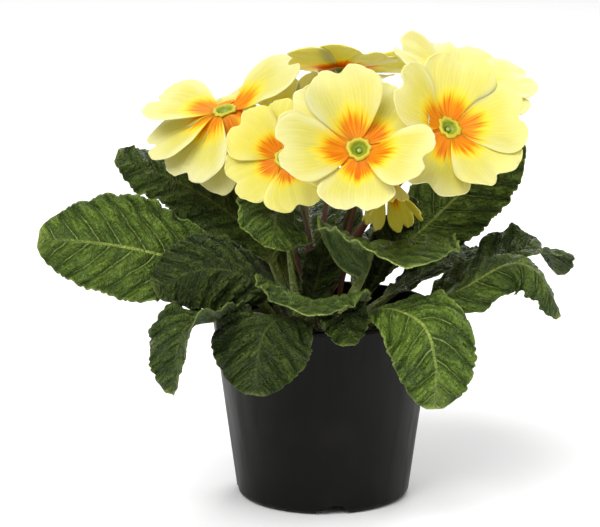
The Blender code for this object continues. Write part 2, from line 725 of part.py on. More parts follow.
def build_stalk(name, bloom, seat, parts, scratch, material):
    """The green of one bloom: stalk, five-toothed calyx cup, and the style up the tube."""
    inner = CALYX_RADIUS - CALYX_WALL
    floor = -TUBE_LENGTH - GAP
    rim = floor + CALYX_LENGTH
    profile = [
        (0, -0.8 * MM),
        (STIGMA_RADIUS, -1.5 * MM),
        (STYLE_RADIUS, -2.4 * MM),
        (STYLE_RADIUS, floor),
        (inner - 0.4 * MM, floor),
        (inner, rim),
        (CALYX_RADIUS, rim),
        (CALYX_RADIUS - 0.3 * MM, floor - 0.5 * MM),
        (FLOWER_STALK_RADIUS, floor - 2.5 * MM),
        (0, floor - 2.8 * MM),
    ]
    cup = turned(name, profile, CALYX_SIDES, parts, material)
    apply_modifiers(cup)
    for vertex in cup.data.vertices:
        out = math.hypot(vertex.co.x, vertex.co.y)
        if out > inner - 0.01 * MM and abs(vertex.co.z - rim) < 0.01 * MM:
            side = round(math.atan2(vertex.co.y, vertex.co.x) / math.tau * CALYX_SIDES)
            vertex.co.z += CALYX_TEETH if side % 2 else -CALYX_TEETH
    matrix = bloom_matrix(bloom)
    axis = matrix.to_3x3() @ Vector((0, 0, 1))
    top = matrix @ Vector((0, 0, floor - 1.6 * MM))
    start = Vector((*seat, SOIL_TOP - ROOTING + GAP))
    stem = stalk_tube(f"{name}_stem", stalk_line(start, top, axis), scratch)
    cup.matrix_world = matrix
    add_boolean(cup, "UNION", stem, "MANIFOLD")
    apply_modifiers(cup, material)
    cup.data.shade_smooth()
    bpy.data.objects.remove(stem)


def flower_stalk_seats():
    """Where the flower stalks stand, each on its bloom's side of a ring inside the leaves."""
    headings = {}
    for name, bloom in BLOOMS.items():
        x, y, _ = bloom["throat"]
        headings[name] = math.atan2(y, x)
    order = sorted(BLOOMS, key=headings.get)
    seats = {}
    for index, name in enumerate(order):
        angle = -math.pi + math.tau * (index + 0.5) / len(order)
        seats[name] = (FLOWER_STALK_RING * math.cos(angle), FLOWER_STALK_RING * math.sin(angle))
    return seats


def main():
    for thing in list(bpy.data.objects):
        bpy.data.objects.remove(thing)
    luck = random.Random(11)
    parts = new_collection("potted_primrose")
    cutters = new_collection("cutters")
    scratch = new_collection("scratch")
    plastic = new_material("pot_plastic", (0.018, 0.018, 0.019), 0.45)
    earth = new_material("soil", (0.035, 0.024, 0.016), 0.95)
    green = new_material("leaf", (0.06, 0.13, 0.025), 0.5)
    yellow = new_material("petal", (0.9, 0.82, 0.3), 0.55)
    stalk_green = new_material("flower_stalk", (0.2, 0.22, 0.08), 0.5)
    seats = flower_stalk_seats()
    holes = [(*leaf_seat(leaf).xy, STALK_HALF_WIDTH + 0.2 * MM) for leaf in LEAVES.values()]
    holes += [(*seat, FLOWER_STALK_RADIUS) for seat in seats.values()]
    build_pot(parts, cutters, plastic)
    build_soil(parts, cutters, earth, holes)
    for name, leaf in LEAVES.items():
        build_leaf(name, leaf, parts, green)
    for name, bloom in BLOOMS.items():
        stalk_name = name.replace("bloom", "stalk")
        build_bloom(name, bloom, parts, scratch, yellow, luck)
        build_stalk(stalk_name, bloom, seats[name], parts, scratch, stalk_green)


main()
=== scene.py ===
import random
from math import atan2, copysign, cos, exp, hypot, pi, radians, sin, sqrt, tau

import bmesh
import bpy
from mathutils import Matrix, Vector, noise


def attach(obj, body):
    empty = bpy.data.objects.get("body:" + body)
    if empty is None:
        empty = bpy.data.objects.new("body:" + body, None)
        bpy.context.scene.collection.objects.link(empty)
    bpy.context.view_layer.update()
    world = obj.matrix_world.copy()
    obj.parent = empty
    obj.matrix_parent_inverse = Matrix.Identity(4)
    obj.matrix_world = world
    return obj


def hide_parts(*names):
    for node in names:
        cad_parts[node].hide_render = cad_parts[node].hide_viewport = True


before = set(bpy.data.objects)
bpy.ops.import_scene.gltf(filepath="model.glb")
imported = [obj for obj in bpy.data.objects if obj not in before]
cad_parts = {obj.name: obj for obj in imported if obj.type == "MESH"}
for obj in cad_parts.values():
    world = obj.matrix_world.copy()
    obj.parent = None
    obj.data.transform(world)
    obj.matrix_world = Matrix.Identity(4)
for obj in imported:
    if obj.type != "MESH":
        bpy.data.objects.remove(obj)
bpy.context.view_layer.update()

# potted primrose: each CAD leaf, bloom and stalk gets a finer piece of the same form
mm = 0.001
noise.seed_set(7)  # so that every run gives the same noise vectors


# small helpers

def ease(low, high, value):
    share = min(1.0, max(0.0, (value - low) / (high - low)))
    return share * share * (3 - 2 * share)


def bell(distance, width):
    return exp(-((distance / width) ** 2))


def noiseAt(x, y, z):
    return noise.noise(Vector((x, y, z)))


def plug(tree, value, socket):  # a socket to link, or a plain value to set
    if isinstance(value, bpy.types.NodeSocket):
        tree.links.new(value, socket)
    else:
        socket.default_value = value


def addNode(tree, kind, inputs, output=0, **settings):  # inputs and output by name or number
    node = tree.nodes.new("ShaderNode" + kind)
    for setting, value in settings.items():
        setattr(node, setting, value)
    for name, value in inputs.items():
        plug(tree, value, node.inputs[name])
    return node.outputs[output]


def attribute(tree, name):
    return addNode(tree, "Attribute", {}, "Fac", attribute_name=name)


def sums(tree, operation, *values):
    return addNode(tree, "Math", dict(enumerate(values)), operation=operation)


def scaled(tree, value, factor, plus=0.0):  # value times factor, and something added
    return sums(tree, "MULTIPLY_ADD", value, factor, plus)


# eased from first where the value is low to last where it is high
def between(tree, value, low, high, first=0.0, last=1.0):
    inputs = {"Value": value, "From Min": low, "From Max": high, "To Min": first, "To Max": last}
    return addNode(tree, "MapRange", inputs, "Result", interpolation_type="SMOOTHSTEP")


def mixed(tree, factor, first, second):  # the colour sockets of a mix are 6, 7 and 2
    return addNode(tree, "Mix", {0: factor, 6: first, 7: second}, 2, data_type="RGBA")


def toned(tree, colour, value):  # the same colour, darker or lighter
    return addNode(tree, "HueSaturation", {"Value": value, "Color": colour}, "Color")


def placeOf(tree, stretch=(1, 1, 1)):
    place = addNode(tree, "TexCoord", {}, "Object")
    return addNode(tree, "Mapping", {"Vector": place, "Scale": stretch})


def together(tree, x, y, z):
    return addNode(tree, "CombineXYZ", {0: x, 1: y, 2: z})


def speckle(tree, place, scale, detail=3.0, roughness=0.5):
    inputs = {"Vector": place, "Scale": scale, "Detail": detail, "Roughness": roughness}
    return addNode(tree, "TexNoise", inputs, "Fac")


def crackle(tree, place, scale):  # distance to the edge of a cell
    inputs = {"Vector": place, "Scale": scale}
    return addNode(tree, "TexVoronoi", inputs, "Distance", feature="DISTANCE_TO_EDGE")


def dress(tree, shader, colour, roughness, height=None, strength=0.3, depth=0.2 * mm):
    plug(tree, colour, shader.inputs["Base Color"])
    plug(tree, roughness, shader.inputs["Roughness"])
    if height is not None:
        inputs = {"Strength": strength, "Distance": depth, "Height": height}
        plug(tree, addNode(tree, "Bump", inputs, "Normal"), shader.inputs["Normal"])


def startMaterial(name):
    material = bpy.data.materials.new(name)
    material.use_nodes = True
    return material, material.node_tree, material.node_tree.nodes["Principled BSDF"]


def placed(name, data):  # a new object in the scene
    thing = bpy.data.objects.new(name, data)
    bpy.context.scene.collection.objects.link(thing)
    return thing


def addPiece(name, mesh, materials, node):
    piece = placed(name, mesh)
    for material in materials:
        mesh.materials.append(material)
    mesh.shade_smooth()
    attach(piece, "root")
    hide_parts(node)
    return piece


def thicken(piece, thickness, offset):
    solid = piece.modifiers.new("Solidify", "SOLIDIFY")
    solid.thickness = thickness
    solid.offset = offset
    return solid


def meshOf(shape, name, outward=False):  # outward turns the faces of a closed shape the right way
    if outward:
        bmesh.ops.recalc_face_normals(shape, faces=shape.faces)
    mesh = bpy.data.meshes.new(name)
    shape.to_mesh(mesh)
    shape.free()
    return mesh


def turnedSheet(profile, sides):  # a profile of (radius, height) spun about Z
    shape = bmesh.new()
    line = [shape.verts.new((radius, 0, height)) for radius, height in profile]
    edges = [shape.edges.new(pair) for pair in zip(line, line[1:])]
    bmesh.ops.spin(
        shape, geom=line + edges, axis=(0, 0, 1), cent=(0, 0, 0), steps=sides, angle=tau
    )
    bmesh.ops.remove_doubles(shape, verts=shape.verts, dist=0.005 * mm)
    return shape


# leaves

leafStyle = dict(
    rings=dict(outer=19 * mm, inner=12.5 * mm),
    foot=62.35 * mm,
    neck=71.5 * mm,
    blade=0.5 * mm,
    stalk=2.4 * mm,
    stalkHalfWidth=1.9 * mm,
    stalkFold=radians(20),
    rib=1.3 * mm,
    ribHalfWidth=1.5 * mm,
    furrow=0.45 * mm,  # on top, over the midrib
    furrowHalfWidth=1.0 * mm,
    grain=0.72 * mm,  # size of the grid's cells
    mostRows=120,
    mostColumns=64,
    lastShare=0.997,
    veinSpacing=9.0 * mm,
    veinLean=0.75,
    veinBend=14.0,
    veinWander=0.16,
    veinWanderLength=11 * mm,
    pillow=2.0 * mm,  # how far the blade swells between two side veins
    puffSize=2.6 * mm,
    puffLength=5.0 * mm,
    puffHeight=1.5 * mm,
    puffStray=0.5,
    waves=3.2,
    ruffle=1.8 * mm,
    ruffleSpacing=14.0 * mm,
    ruffleFrom=0.72,  # share of the half width where the ruffle begins
    toothSize=0.95 * mm,
    toothSpacing=3.3 * mm,
    toothStrayLength=6 * mm,
    toothFrom=0.82,
    drift=0.9 * mm,  # how far the margin strays in and out
    driftLength=14 * mm,
)

# unless a leaf says it: its stalk's share, arch, how pale the veins and how light it is, a
# lightness that is partly the leaf's own tone and partly painted light and shade
plainLeaf = dict(stalk=0.3, arch=0, pale=0.4, toneAndPaintedLight=0.7)

leaves = {
    "leaf_west": dict(
        ring="outer", heading=186, halfWidth=21, face=(0.05, -0.85, 0.5),
        midrib=((-30, -9, 86), (-45, -16, 95), (-60, -23, 102), (-84, -27, 108), (-112, -21, 109)),
        fold=(8, 8), curl=(-12, -10), wave=1.4, pale=1.0, toneAndPaintedLight=1.2,
    ),
    "leaf_north_west": dict(
        ring="inner", heading=168, halfWidth=14.5, face=(-0.1, -0.7, 0.7),
        midrib=((-24, 4, 102), (-38, 6, 114), (-54, 9, 124), (-70, 10, 131), (-83, 8, 137)),
        fold=(6, 6), curl=(-10, -30), wave=2.4, toneAndPaintedLight=0.75,
    ),
    "leaf_north": dict(
        ring="inner", heading=132, halfWidth=14, face=(0.3, -0.8, 0.3),
        midrib=((-20, 15, 100), (-32, 23, 115), (-40, 27, 129), (-45, 29, 141)),
        fold=(8, 8), curl=(0, 0), wave=1.3, toneAndPaintedLight=0.7,
    ),
    "leaf_front_high": dict(
        ring="inner", heading=-146, halfWidth=17, face=(0.45, -0.7, 0.55),
        midrib=(
            (-12, -13, 98), (-14, -15, 112), (-17, -23, 120), (-19, -34, 118), (-20, -41, 109),
        ),
        fold=(4, 4), curl=(-10, -10), wave=1.4, stalk=0.56, toneAndPaintedLight=1.2,
    ),
    "leaf_south_west": dict(
        ring="outer", heading=212, halfWidth=17, face=(0.0, -0.7, 0.7),
        midrib=((-20, -18, 86), (-33, -29, 97), (-48, -36.5, 100), (-66, -41.3, 93.5)),
        fold=(-4, 4), curl=(-30, -16), wave=1.4, toneAndPaintedLight=0.5,
    ),
    "leaf_front_left": dict(
        ring="outer", heading=-106, halfWidth=20, face=(-0.1, -0.95, 0.3),
        midrib=((-12, -32, 80), (-18, -47, 83), (-24, -59, 78), (-27, -64, 57)),
        fold=(2, -8), curl=(-14, -14), wave=1.4, arch=0.6, stalk=0.36, toneAndPaintedLight=0.55,
    ),
    "leaf_front_left_curled": dict(
        ring="outer", heading=-132, halfWidth=15, face=(-0.35, -0.9, 0.3),
        midrib=((-27, -28, 80), (-42, -46, 83.3), (-54, -61, 81), (-58, -66, 58)),
        fold=(44, -8), curl=(30, -12), wave=1.2, arch=0.6, stalk=0.36, toneAndPaintedLight=0.7,
    ),
    "leaf_front": dict(
        ring="inner", heading=-90, halfWidth=23, face=(0.0, -0.05, 1.0),
        midrib=((-2, -24, 84), (-5, -46, 90), (-6, -66, 89)),
        fold=(2, 8), curl=(12, 26), wave=1.2, arch=0.6, toneAndPaintedLight=1.0,
    ),
    "leaf_front_right_high": dict(
        ring="inner", heading=-62, halfWidth=29, face=(0.1, -0.55, 0.85),
        midrib=((15, -14, 93), (19, -23, 105), (24, -40, 108), (31, -61, 106)),
        fold=(6, 28), curl=(-10, 4), wave=1.3, stalk=0.38, toneAndPaintedLight=1.5,
    ),
    "leaf_north_east": dict(
        ring="inner", heading=30, halfWidth=18, face=(-0.2, -0.85, 0.45),
        midrib=((24, 8, 94), (38, 8, 105), (60, 10, 126), (79, 7, 144)),
        fold=(6, 6), curl=(-8, -8), wave=1.3, pale=0.7, toneAndPaintedLight=1.0,
    ),
    "leaf_east": dict(
        ring="outer", heading=-8, halfWidth=17, face=(0.1, 0.15, 1.0),
        midrib=(
            (28, -7, 76), (42, -12, 80), (59, -12, 90), (75, -7, 98), (89, 1, 99), (95, 7, 88),
        ),
        fold=(26, 20), curl=(10, -20), wave=2.0, stalk=0.16, pale=0.8, toneAndPaintedLight=0.75,
    ),
    "leaf_south_east": dict(
        ring="outer", heading=-32, halfWidth=12, face=(0.4, -0.5, 0.8),
        midrib=((32, -22, 80), (52, -38, 92.5), (72, -38, 103), (84, -39, 98), (92, -36, 81)),
        fold=(-14, -14), curl=(-40, -40), wave=1.4, stalk=0.26, pale=0.8, toneAndPaintedLight=0.95,
    ),
    "leaf_front_right": dict(
        ring="outer", heading=-54, halfWidth=17, face=(0.1, -0.95, 0.3),
        midrib=((18, -34, 83), (28, -49, 87), (38, -61, 83), (42, -64, 69), (42, -62, 51)),
        fold=(6, 6), curl=(-16, -16), wave=1.5, arch=0.6, stalk=0.36, pale=0.9, toneAndPaintedLight=1.35,
    ),
    "leaf_front_small": dict(
        ring="outer", heading=-80, halfWidth=9.5, face=(0.0, -0.9, 0.45),
        midrib=((4, -30, 79), (7.5, -45, 84), (9, -57, 75)),
        fold=(4, 4), curl=(-14, -14), wave=1.0, arch=0.6, toneAndPaintedLight=0.7,
    ),
    "leaf_heart_left": dict(
        ring="inner", heading=-118, halfWidth=8, face=(0.4, -0.8, 0.2),
        midrib=((-4, -13, 84), (-1, -16, 97), (2, -17, 109)),
        fold=(12, 12), curl=(0, 0), wave=0.8, toneAndPaintedLight=0.5,
    ),
    "leaf_heart_east": dict(
        ring="inner", heading=4, halfWidth=9, face=(-0.5, -0.8, 0.2),
        midrib=((23, 0, 92), (30, -1, 107), (37, -2, 121)),
        fold=(34, 34), curl=(10, 10), wave=1.0, toneAndPaintedLight=0.45,
    ),
    "leaf_back_left": dict(
        ring="outer", heading=128, halfWidth=19, face=(-0.2, 0.25, 1.0),
        midrib=((-26, 32, 88), (-46, 56, 101), (-62, 76, 96)),
        fold=(8, 8), curl=(-14, -14), wave=1.5, stalk=0.14,
    ),
    "leaf_back": dict(
        ring="outer", heading=94, halfWidth=22, face=(0.0, 0.1, 1.0),
        midrib=((-3, 32, 90), (-6, 60, 106), (-9, 88, 102)),
        fold=(8, 8), curl=(-14, -14), wave=1.5, arch=0.6, stalk=0.12,
    ),
    "leaf_back_right": dict(
        ring="outer", heading=60, halfWidth=19, face=(0.2, 0.25, 1.0),
        midrib=((23, 32, 88), (42, 57, 101), (57, 77, 94)),
        fold=(8, 8), curl=(-14, -14), wave=1.5, stalk=0.2,
    ),
    "leaf_east_back": dict(
        ring="outer", heading=28, halfWidth=16, face=(0.4, 0.3, 1.0),
        midrib=((37, 20, 84), (62, 35, 92), (82, 46, 84)),
        fold=(8, 8), curl=(-14, -14), wave=1.5, stalk=0.24,
    ),
}


def splinePoint(points, share):
    place = share * (len(points) - 1)
    index = min(int(place), len(points) - 2)
    t = place - index
    start, end = points[index], points[index + 1]
    before = points[index - 1] if index > 0 else start * 2 - end
    after = points[index + 2] if index + 2 < len(points) else end * 2 - start
    bend = 2 * before - 5 * start + 4 * end - after
    turn = 3 * start - before - 3 * end + after
    return 0.5 * (2 * start + (end - before) * t + bend * t * t + turn * t * t * t)


def measuredCurve(foot, points, steps=160):
    line = [foot] + [splinePoint(points, step / steps) for step in range(steps + 1)]
    along = [0.0]
    for first, second in zip(line, line[1:]):
        along.append(along[-1] + (second - first).length)
    return line, along


def pointAt(curve, share):
    line, along = curve
    wanted = min(1.0, max(0.0, share)) * along[-1]
    for index in range(len(line) - 1):
        if along[index + 1] >= wanted:
            part = (wanted - along[index]) / max(along[index + 1] - along[index], 1e-9)
            return line[index].lerp(line[index + 1], part)
    return line[-1].copy()


def leafSeat(leaf):
    heading = radians(leaf["heading"])
    return Vector((cos(heading), sin(heading), 0)) * leafStyle["rings"][leaf["ring"]]


def leafCurve(leaf):
    seat = leafSeat(leaf)
    foot = seat * (1 - leafStyle["stalk"] / 2 / seat.length)
    foot.z = leafStyle["foot"]
    neck = foot.copy()
    neck.z = leafStyle["neck"]
    return measuredCurve(foot, [neck] + [Vector(point) * mm for point in leaf["midrib"]])


def leafOutline(bare, share):
    if share <= bare:
        return 0.0
    along = (share - bare) / (1 - bare)
    return max(0.0, sin(pi * along**1.25)) ** 0.62


def arcOffset(width, fold, curl):  # out and up of a half that bends by curl on its way out
    if abs(curl) < 1e-3:
        return width * cos(fold), width * sin(fold)
    end = fold + curl
    out = width / curl * (sin(end) - sin(fold))
    up = width / curl * (cos(fold) - cos(end))
    return out, up


def leanAt(width):  # how far a side vein has run forward at this width
    return leafStyle["veinLean"] * width + leafStyle["veinBend"] * width * width


def puffAt(run, width, seed):  # 0 in a furrow of the net of small veins, about 1 on a puff
    along = (run - leanAt(abs(width))) / leafStyle["puffSize"]
    place = Vector((along, width / leafStyle["puffLength"], 0))
    place += leafStyle["puffStray"] * noise.noise_vector(place * 0.9 + Vector((seed, 0, 0)))
    place.z = seed
    distances, _ = noise.voronoi(place, distance_metric="DISTANCE", exponent=2.5)
    return distances[1] - distances[0]


def sideVeinAt(run, width, hand, seed):  # 0 on a side vein, 1 half way to the next, and its number
    size = leafStyle["veinWanderLength"]
    wander = leafStyle["veinWander"] * noiseAt(run / size, width / size, seed)
    place = (run - leanAt(width)) / leafStyle["veinSpacing"] + 0.5 * hand + wander
    return 2 * abs(place - round(place)), place


def leafRow(leaf, curve, share):  # the frame of one row across the blade
    bare = leaf["stalk"]
    turn = ease(0.1, bare + 0.12, share)
    tangent = (pointAt(curve, share + 0.02) - pointAt(curve, share - 0.02)).normalized()
    inward = -leafSeat(leaf).normalized()
    arch = leaf["arch"]
    blend = ease(0.1, 0.8, share) if arch else turn
    hint = inward.lerp(Vector(leaf["face"]).normalized(), blend)
    hint.z += 4 * arch * blend * (1 - blend)
    normal = (hint - tangent * hint.dot(tangent)).normalized()
    return bare, turn, pointAt(curve, share), tangent.cross(normal), normal


def leafMargin(leaf, out, up, run, share, hand, edge, outline, seed):  # waves, ruffle and teeth
    ripple = sin(tau * leafStyle["waves"] * share + 1.7 * hand + leaf["heading"])
    up += leaf["wave"] * mm * outline * edge * edge * ripple
    margin = ease(leafStyle["ruffleFrom"], 1.0, edge) * outline
    wander = noiseAt(run / leafStyle["driftLength"], hand * 9.0, seed)
    turns = run / leafStyle["ruffleSpacing"] + wander
    up += leafStyle["ruffle"] * margin * sin(tau * turns + hand * 2.1 + seed)
    stray = noiseAt(run / leafStyle["toothStrayLength"], hand * 5.0, seed + 2)
    tooth = abs(sin(pi * (run / leafStyle["toothSpacing"] + 1.3 * stray)))
    bite = leafStyle["toothSize"] * (0.9 + 1.1 * stray) * (tooth - 0.6)
    bite += leafStyle["drift"] * wander
    out += bite * ease(leafStyle["toothFrom"], 1.0, edge) * min(1, outline * 2)
    return out, up


def leafRelief(run, width, share, hand, edge, outline, turn, seed):  # pillows, puffs and furrow
    puff = puffAt(run, width if hand else -width, seed)
    gap, vein = sideVeinAt(run, width, hand, seed)
    clear = ease(0.0, 0.3, gap)
    dome = ease(-0.1, 0.7, puff)
    inside = outline * ease(0, 3 * mm, width) * (1 - 0.5 * ease(0.8, 1, edge))
    relief = leafStyle["pillow"] * (gap**0.6 - 0.6) * inside
    relief += leafStyle["puffHeight"] * (dome - 0.5) * inside * clear
    furrow = bell(width, leafStyle["furrowHalfWidth"]) * ease(1.0, 0.75, share)
    relief -= leafStyle["furrow"] * furrow * turn
    # swell is the puffs' height, used for the bump and as painted shade in the colour: lighter on
    # the puffs, darker in the furrows
    swell = (0.30 + 0.55 * ease(0.0, 0.3, puff) + 0.15 * dome) * (0.6 + 0.4 * clear)
    return relief, vein, swell


def leafPoint(leaf, row, share, across, length, seed):  # a point, its thickness and its marks
    bare, turn, centre, side, normal = row
    hand = 0 if across < 0 else 1
    edge = abs(across)
    outline = leafOutline(bare, share)
    slim = leafStyle["stalkHalfWidth"]
    width = (slim + (leaf["halfWidth"] * mm - slim) * outline) * edge
    fold = radians(leaf["fold"][hand]) * turn + leafStyle["stalkFold"] * (1 - turn)
    curl = radians(leaf["curl"][hand]) * turn * edge
    out, up = arcOffset(width, fold, curl)
    outward = side * copysign(1, across)
    lift = normal * cos(fold + curl) - outward * sin(fold + curl)
    run = share * length
    out, up = leafMargin(leaf, out, up, run, share, hand, edge, outline, seed)
    relief, vein, swell = leafRelief(run, width, share, hand, edge, outline, turn, seed)
    core = (leafStyle["stalk"] - leafStyle["blade"]) * (1 - turn)
    core += ease(1.05, 0.3, share) * leafStyle["rib"] * turn
    thickness = leafStyle["blade"] + core * bell(width, leafStyle["ribHalfWidth"])
    spot = centre + outward * out + normal * up + lift * relief
    aside = (width if hand else -width) / mm
    marks = (vein, aside, run / mm, outline, edge, seed, leaf["pale"], leaf["toneAndPaintedLight"], swell, share)
    return spot, thickness, marks


leafMarks = ("vein", "aside", "run", "broad", "edge", "seed", "pale", "toneAndPaintedLight", "swell", "share")


def buildLeaf(name, leaf, seed, materials):
    curve = leafCurve(leaf)
    length = curve[1][-1]
    bare = leaf["stalk"]
    rows = min(leafStyle["mostRows"], int(length / leafStyle["grain"]))
    halfColumns = int(leaf["halfWidth"] * mm / leafStyle["grain"])
    columns = min(leafStyle["mostColumns"], 2 * halfColumns)
    stalkRows = int(rows * bare * 0.5)
    shape = bmesh.new()
    bmesh.ops.create_grid(shape, x_segments=columns, y_segments=rows, size=1)
    weights = shape.verts.layers.deform.verify()
    layers = [shape.verts.layers.float.new(mark) for mark in leafMarks]
    frames = {}
    for vertex in shape.verts:
        across = vertex.co.x
        index = round((vertex.co.y + 1) / 2 * rows)
        if index <= stalkRows:
            share = bare * index / stalkRows
        else:  # closer rows towards the tip
            part = (index - stalkRows) / (rows - stalkRows)
            share = bare + (leafStyle["lastShare"] - bare) * (1 - (1 - part) ** 1.25)
        if index not in frames:
            frames[index] = leafRow(leaf, curve, share)
        place, thickness, marks = leafPoint(leaf, frames[index], share, across, length, seed)
        vertex.co = place
        vertex[weights][0] = thickness / leafStyle["stalk"]
        for layer, value in zip(layers, marks):
            vertex[layer] = value
    piece = addPiece(name.replace("leaf", "blade"), meshOf(shape, name), materials, name)
    piece.vertex_groups.new(name="thickness")
    solid = thicken(piece, leafStyle["stalk"], -1)
    solid.vertex_group = "thickness"
    solid.material_offset = 1


leafColours = dict(
    leafTop=dict(
        dark=(0.030, 0.057, 0.006, 1), light=(0.140, 0.218, 0.025, 1), rib=(0.31, 0.39, 0.08, 1),
    ),
    leafUnder=dict(
        dark=(0.055, 0.092, 0.022, 1), light=(0.16, 0.22, 0.060, 1), rib=(0.29, 0.36, 0.11, 1),
    ),
)


def makeLeafMaterial(name, side):  # side is 1 on top and -1 under the leaf
    material, tree, shader = startMaterial(name)
    marks = [attribute(tree, mark) for mark in leafMarks]
    vein, aside, run, broad, edge, seed, pale, toneAndPaintedLight, swell, share = marks
    flat = together(tree, run, aside, seed)
    stray = scaled(tree, speckle(tree, flat, 0.35, 2), 0.16, -0.08)
    phase = sums(tree, "ADD", vein, stray)
    off = sums(tree, "ABSOLUTE", sums(tree, "SUBTRACT", phase, sums(tree, "ROUND", phase)))
    veinFurrowShade = between(tree, off, 0.0, 0.3, 1.0, 0.0)  # painted shade: the blade is darker in the furrow beside a side vein
    thin = between(tree, off, 0.012, 0.055, 1.0, 0.0)  # a side vein, thin and pale
    ribWidth = scaled(tree, broad, -0.1, 0.85)
    away = sums(tree, "ABSOLUTE", aside)
    rib = between(tree, away, scaled(tree, ribWidth, 0.35), ribWidth, 1.0, 0.0)
    net = between(tree, crackle(tree, flat, 0.62), 0.02, 0.16, 1.0, 0.0)
    fineNet = between(tree, crackle(tree, flat, 1.5), 0.02, 0.2, 1.0, 0.0)
    blotch = speckle(tree, flat, 0.07, 3)
    fine = speckle(tree, flat, 1.6, 4, 0.6)
    colours = leafColours[name]
    # painted shade: the colour is darker in the furrows and beside the side veins and lighter on
    # the puffs; the blotch and fine noise are the leaf's own uneven tone
    shade = scaled(tree, fine, 0.22, -0.36)
    for value, weight in ((blotch, 0.9), (swell, 0.38), (veinFurrowShade, -0.3)):
        shade = scaled(tree, value, weight, shade)
    body = mixed(tree, between(tree, shade, 0.05, 0.9), colours["dark"], colours["light"])
    rim = between(tree, edge, 0.94, 1.0, 0.0, 0.4)
    fade = scaled(tree, between(tree, edge, 0.3, 0.95, 0.7, 0.0), pale)
    toTip = between(tree, share, 0.6, 0.98, 1.0, 0.15)
    spine = scaled(tree, scaled(tree, rib, pale), toTip)
    stalk = between(tree, broad, 0.0, 0.35, 0.9, 0.0)
    strong = sums(tree, "MAXIMUM", spine, stalk)
    for paler in (rim, scaled(tree, thin, fade), strong):
        body = mixed(tree, paler, body, colours["rib"])
    rough = between(tree, fine, 0.3, 0.7, 0.28, 0.42) if side > 0 else 0.55
    height = scaled(tree, fine, 0.5)
    for value, weight in ((net, -0.9), (thin, -1.1), (fineNet, -0.35), (swell, 2.4)):
        height = scaled(tree, value, weight * side, height)
    # the whole leaf is made lighter or darker: partly its own tone, partly painted light and shade
    dress(tree, shader, toned(tree, body, toneAndPaintedLight), rough, height, 1.0, 0.5 * mm)
    shader.inputs["Specular IOR Level"].default_value = 0.33
    return material


# blooms

bloomStyle = dict(
    reach=31 * mm,
    halfWidth=16.5 * mm,
    thickness=0.45 * mm,
    root=3.2 * mm,
    widest=0.74,
    tip=0.8,
    notch=0.12,
    notchSpread=0.24,
    nick=0.022,
    shoulder=0.17,
    cup=1.4 * mm,
    level=1.3 * mm,
    ruffle=1.5 * mm,
    crimp=0.1 * mm,
    fold=0.8 * mm,  # of the midline
    foldSpread=0.12,
    rows=30,
    columns=34,
    collar=dict(reach=0.23, shortReach=0.13, wideGap=90, drop=1.7 * mm),
    flare=4.2 * mm,
    tube=2.21 * mm,
    tubeLength=12 * mm,
    tubeTop=4 * mm,
    throatProfile=((1.35, -2.6), (1.3, -1.5)),
    lipProfile=(  # out from the flare, and up
        (-2.1, -1.1), (-1.5, -0.45), (-1.15, 0.35), (-0.8, 0.85), (-0.3, 0.95), (0.1, 0.7),
        (0.35, 0.2),
    ),
    lipThickness=0.4 * mm,
    lipSides=60,
)

# a bloom may get painted light shining through its petals: a deeper, brighter yellow for blooms
# seen in shade or against the light
blooms = {
    "bloom_middle": dict(
        throat=(13, -48, 149), face=(-0.05, -0.8, 0.59), size=1.07,
        petals=(
            (-26, 28, 2), (56, -6, -1), (104, 18, 0), (150, 18, -1), (188, 20, 1), (267, 24, -1),
        ),
    ),
    "bloom_small": dict(
        throat=(-15, -31, 142.5), face=(-0.15, -0.85, 0.5), size=0.76, paintedBacklight=0.6,
        petals=((-8, 14, 0), (75, 14, -1), (143, 12, 1), (207, 8, 0), (286, 8, 1)),
    ),
    "bloom_left": dict(
        throat=(-39, -7, 157), face=(-0.2, -0.3, 0.93), size=1.11,
        petals=(
            (18, 20, 1), (104, -16, 0), (150, 2, 1), (186, -18, 0), (226, -36, 1), (276, -48, -1),
        ),
    ),
    "bloom_right": dict(
        throat=(47.6, -35, 155), face=(0.33, -0.7, 0.63), size=0.98, paintedBacklight=0.15,
        petals=((12, 18, 1), (84, 20, 0), (164, 26, 1), (250, 0, -1), (312, 16, 0)),
    ),
    "bloom_back_right": dict(
        throat=(55, 14, 164), face=(0.25, -0.3, 0.92), size=1.0,
        petals=((20, 10, 1), (92, 10, -1), (164, 14, 1), (236, 10, -1), (308, 10, 0)),
    ),
    "bloom_back": dict(
        throat=(7.5, 33, 168), face=(0.05, 0.38, 0.9), size=1.0, paintedBacklight=0.5,
        petals=((0, 4, 1), (72, 8, -1), (144, 8, 1), (216, 2, -1), (288, -1, 0)),
    ),
    "bloom_back_left": dict(
        throat=(-14.3, 28.5, 149), face=(-0.25, 0.45, 0.85), size=0.72, paintedBacklight=0.5,
        petals=((-30, 30, 1), (42, 26, -1), (114, 24, 1), (186, 24, -1), (258, 34, 0)),
    ),
    "bloom_low": dict(
        throat=(25, -22, 128.5), face=(0.1, -0.6, -0.75), size=0.6, paintedBacklight=1.0,
        petals=((10, 56, 1), (82, 56, -1), (154, 56, 1), (226, 56, -1), (298, 56, 0)),
    ),
}


def bloomMatrix(bloom):  # Z is the way the bloom faces, X its right as it is looked into
    facing = Vector(bloom["face"]).normalized()
    right = (Vector((1, 0, 0)) - facing * facing.x).normalized()
    turn = Matrix((right, facing.cross(right), facing)).transposed().to_4x4()
    return Matrix.Translation(Vector(bloom["throat"]) * mm) @ turn


def addOnBloom(kind, name, mesh, material):  # petals and eye replace the bloom, the rest its stalk
    host, slot = ("bloom", "petal") if kind in ("petals", "eye") else ("stalk", "flower_stalk")
    node = name.replace("bloom", host)
    piece = addPiece(name.replace("bloom", kind), mesh, [material], node)
    piece.matrix_world = bloomMatrix(blooms[name])
    return piece


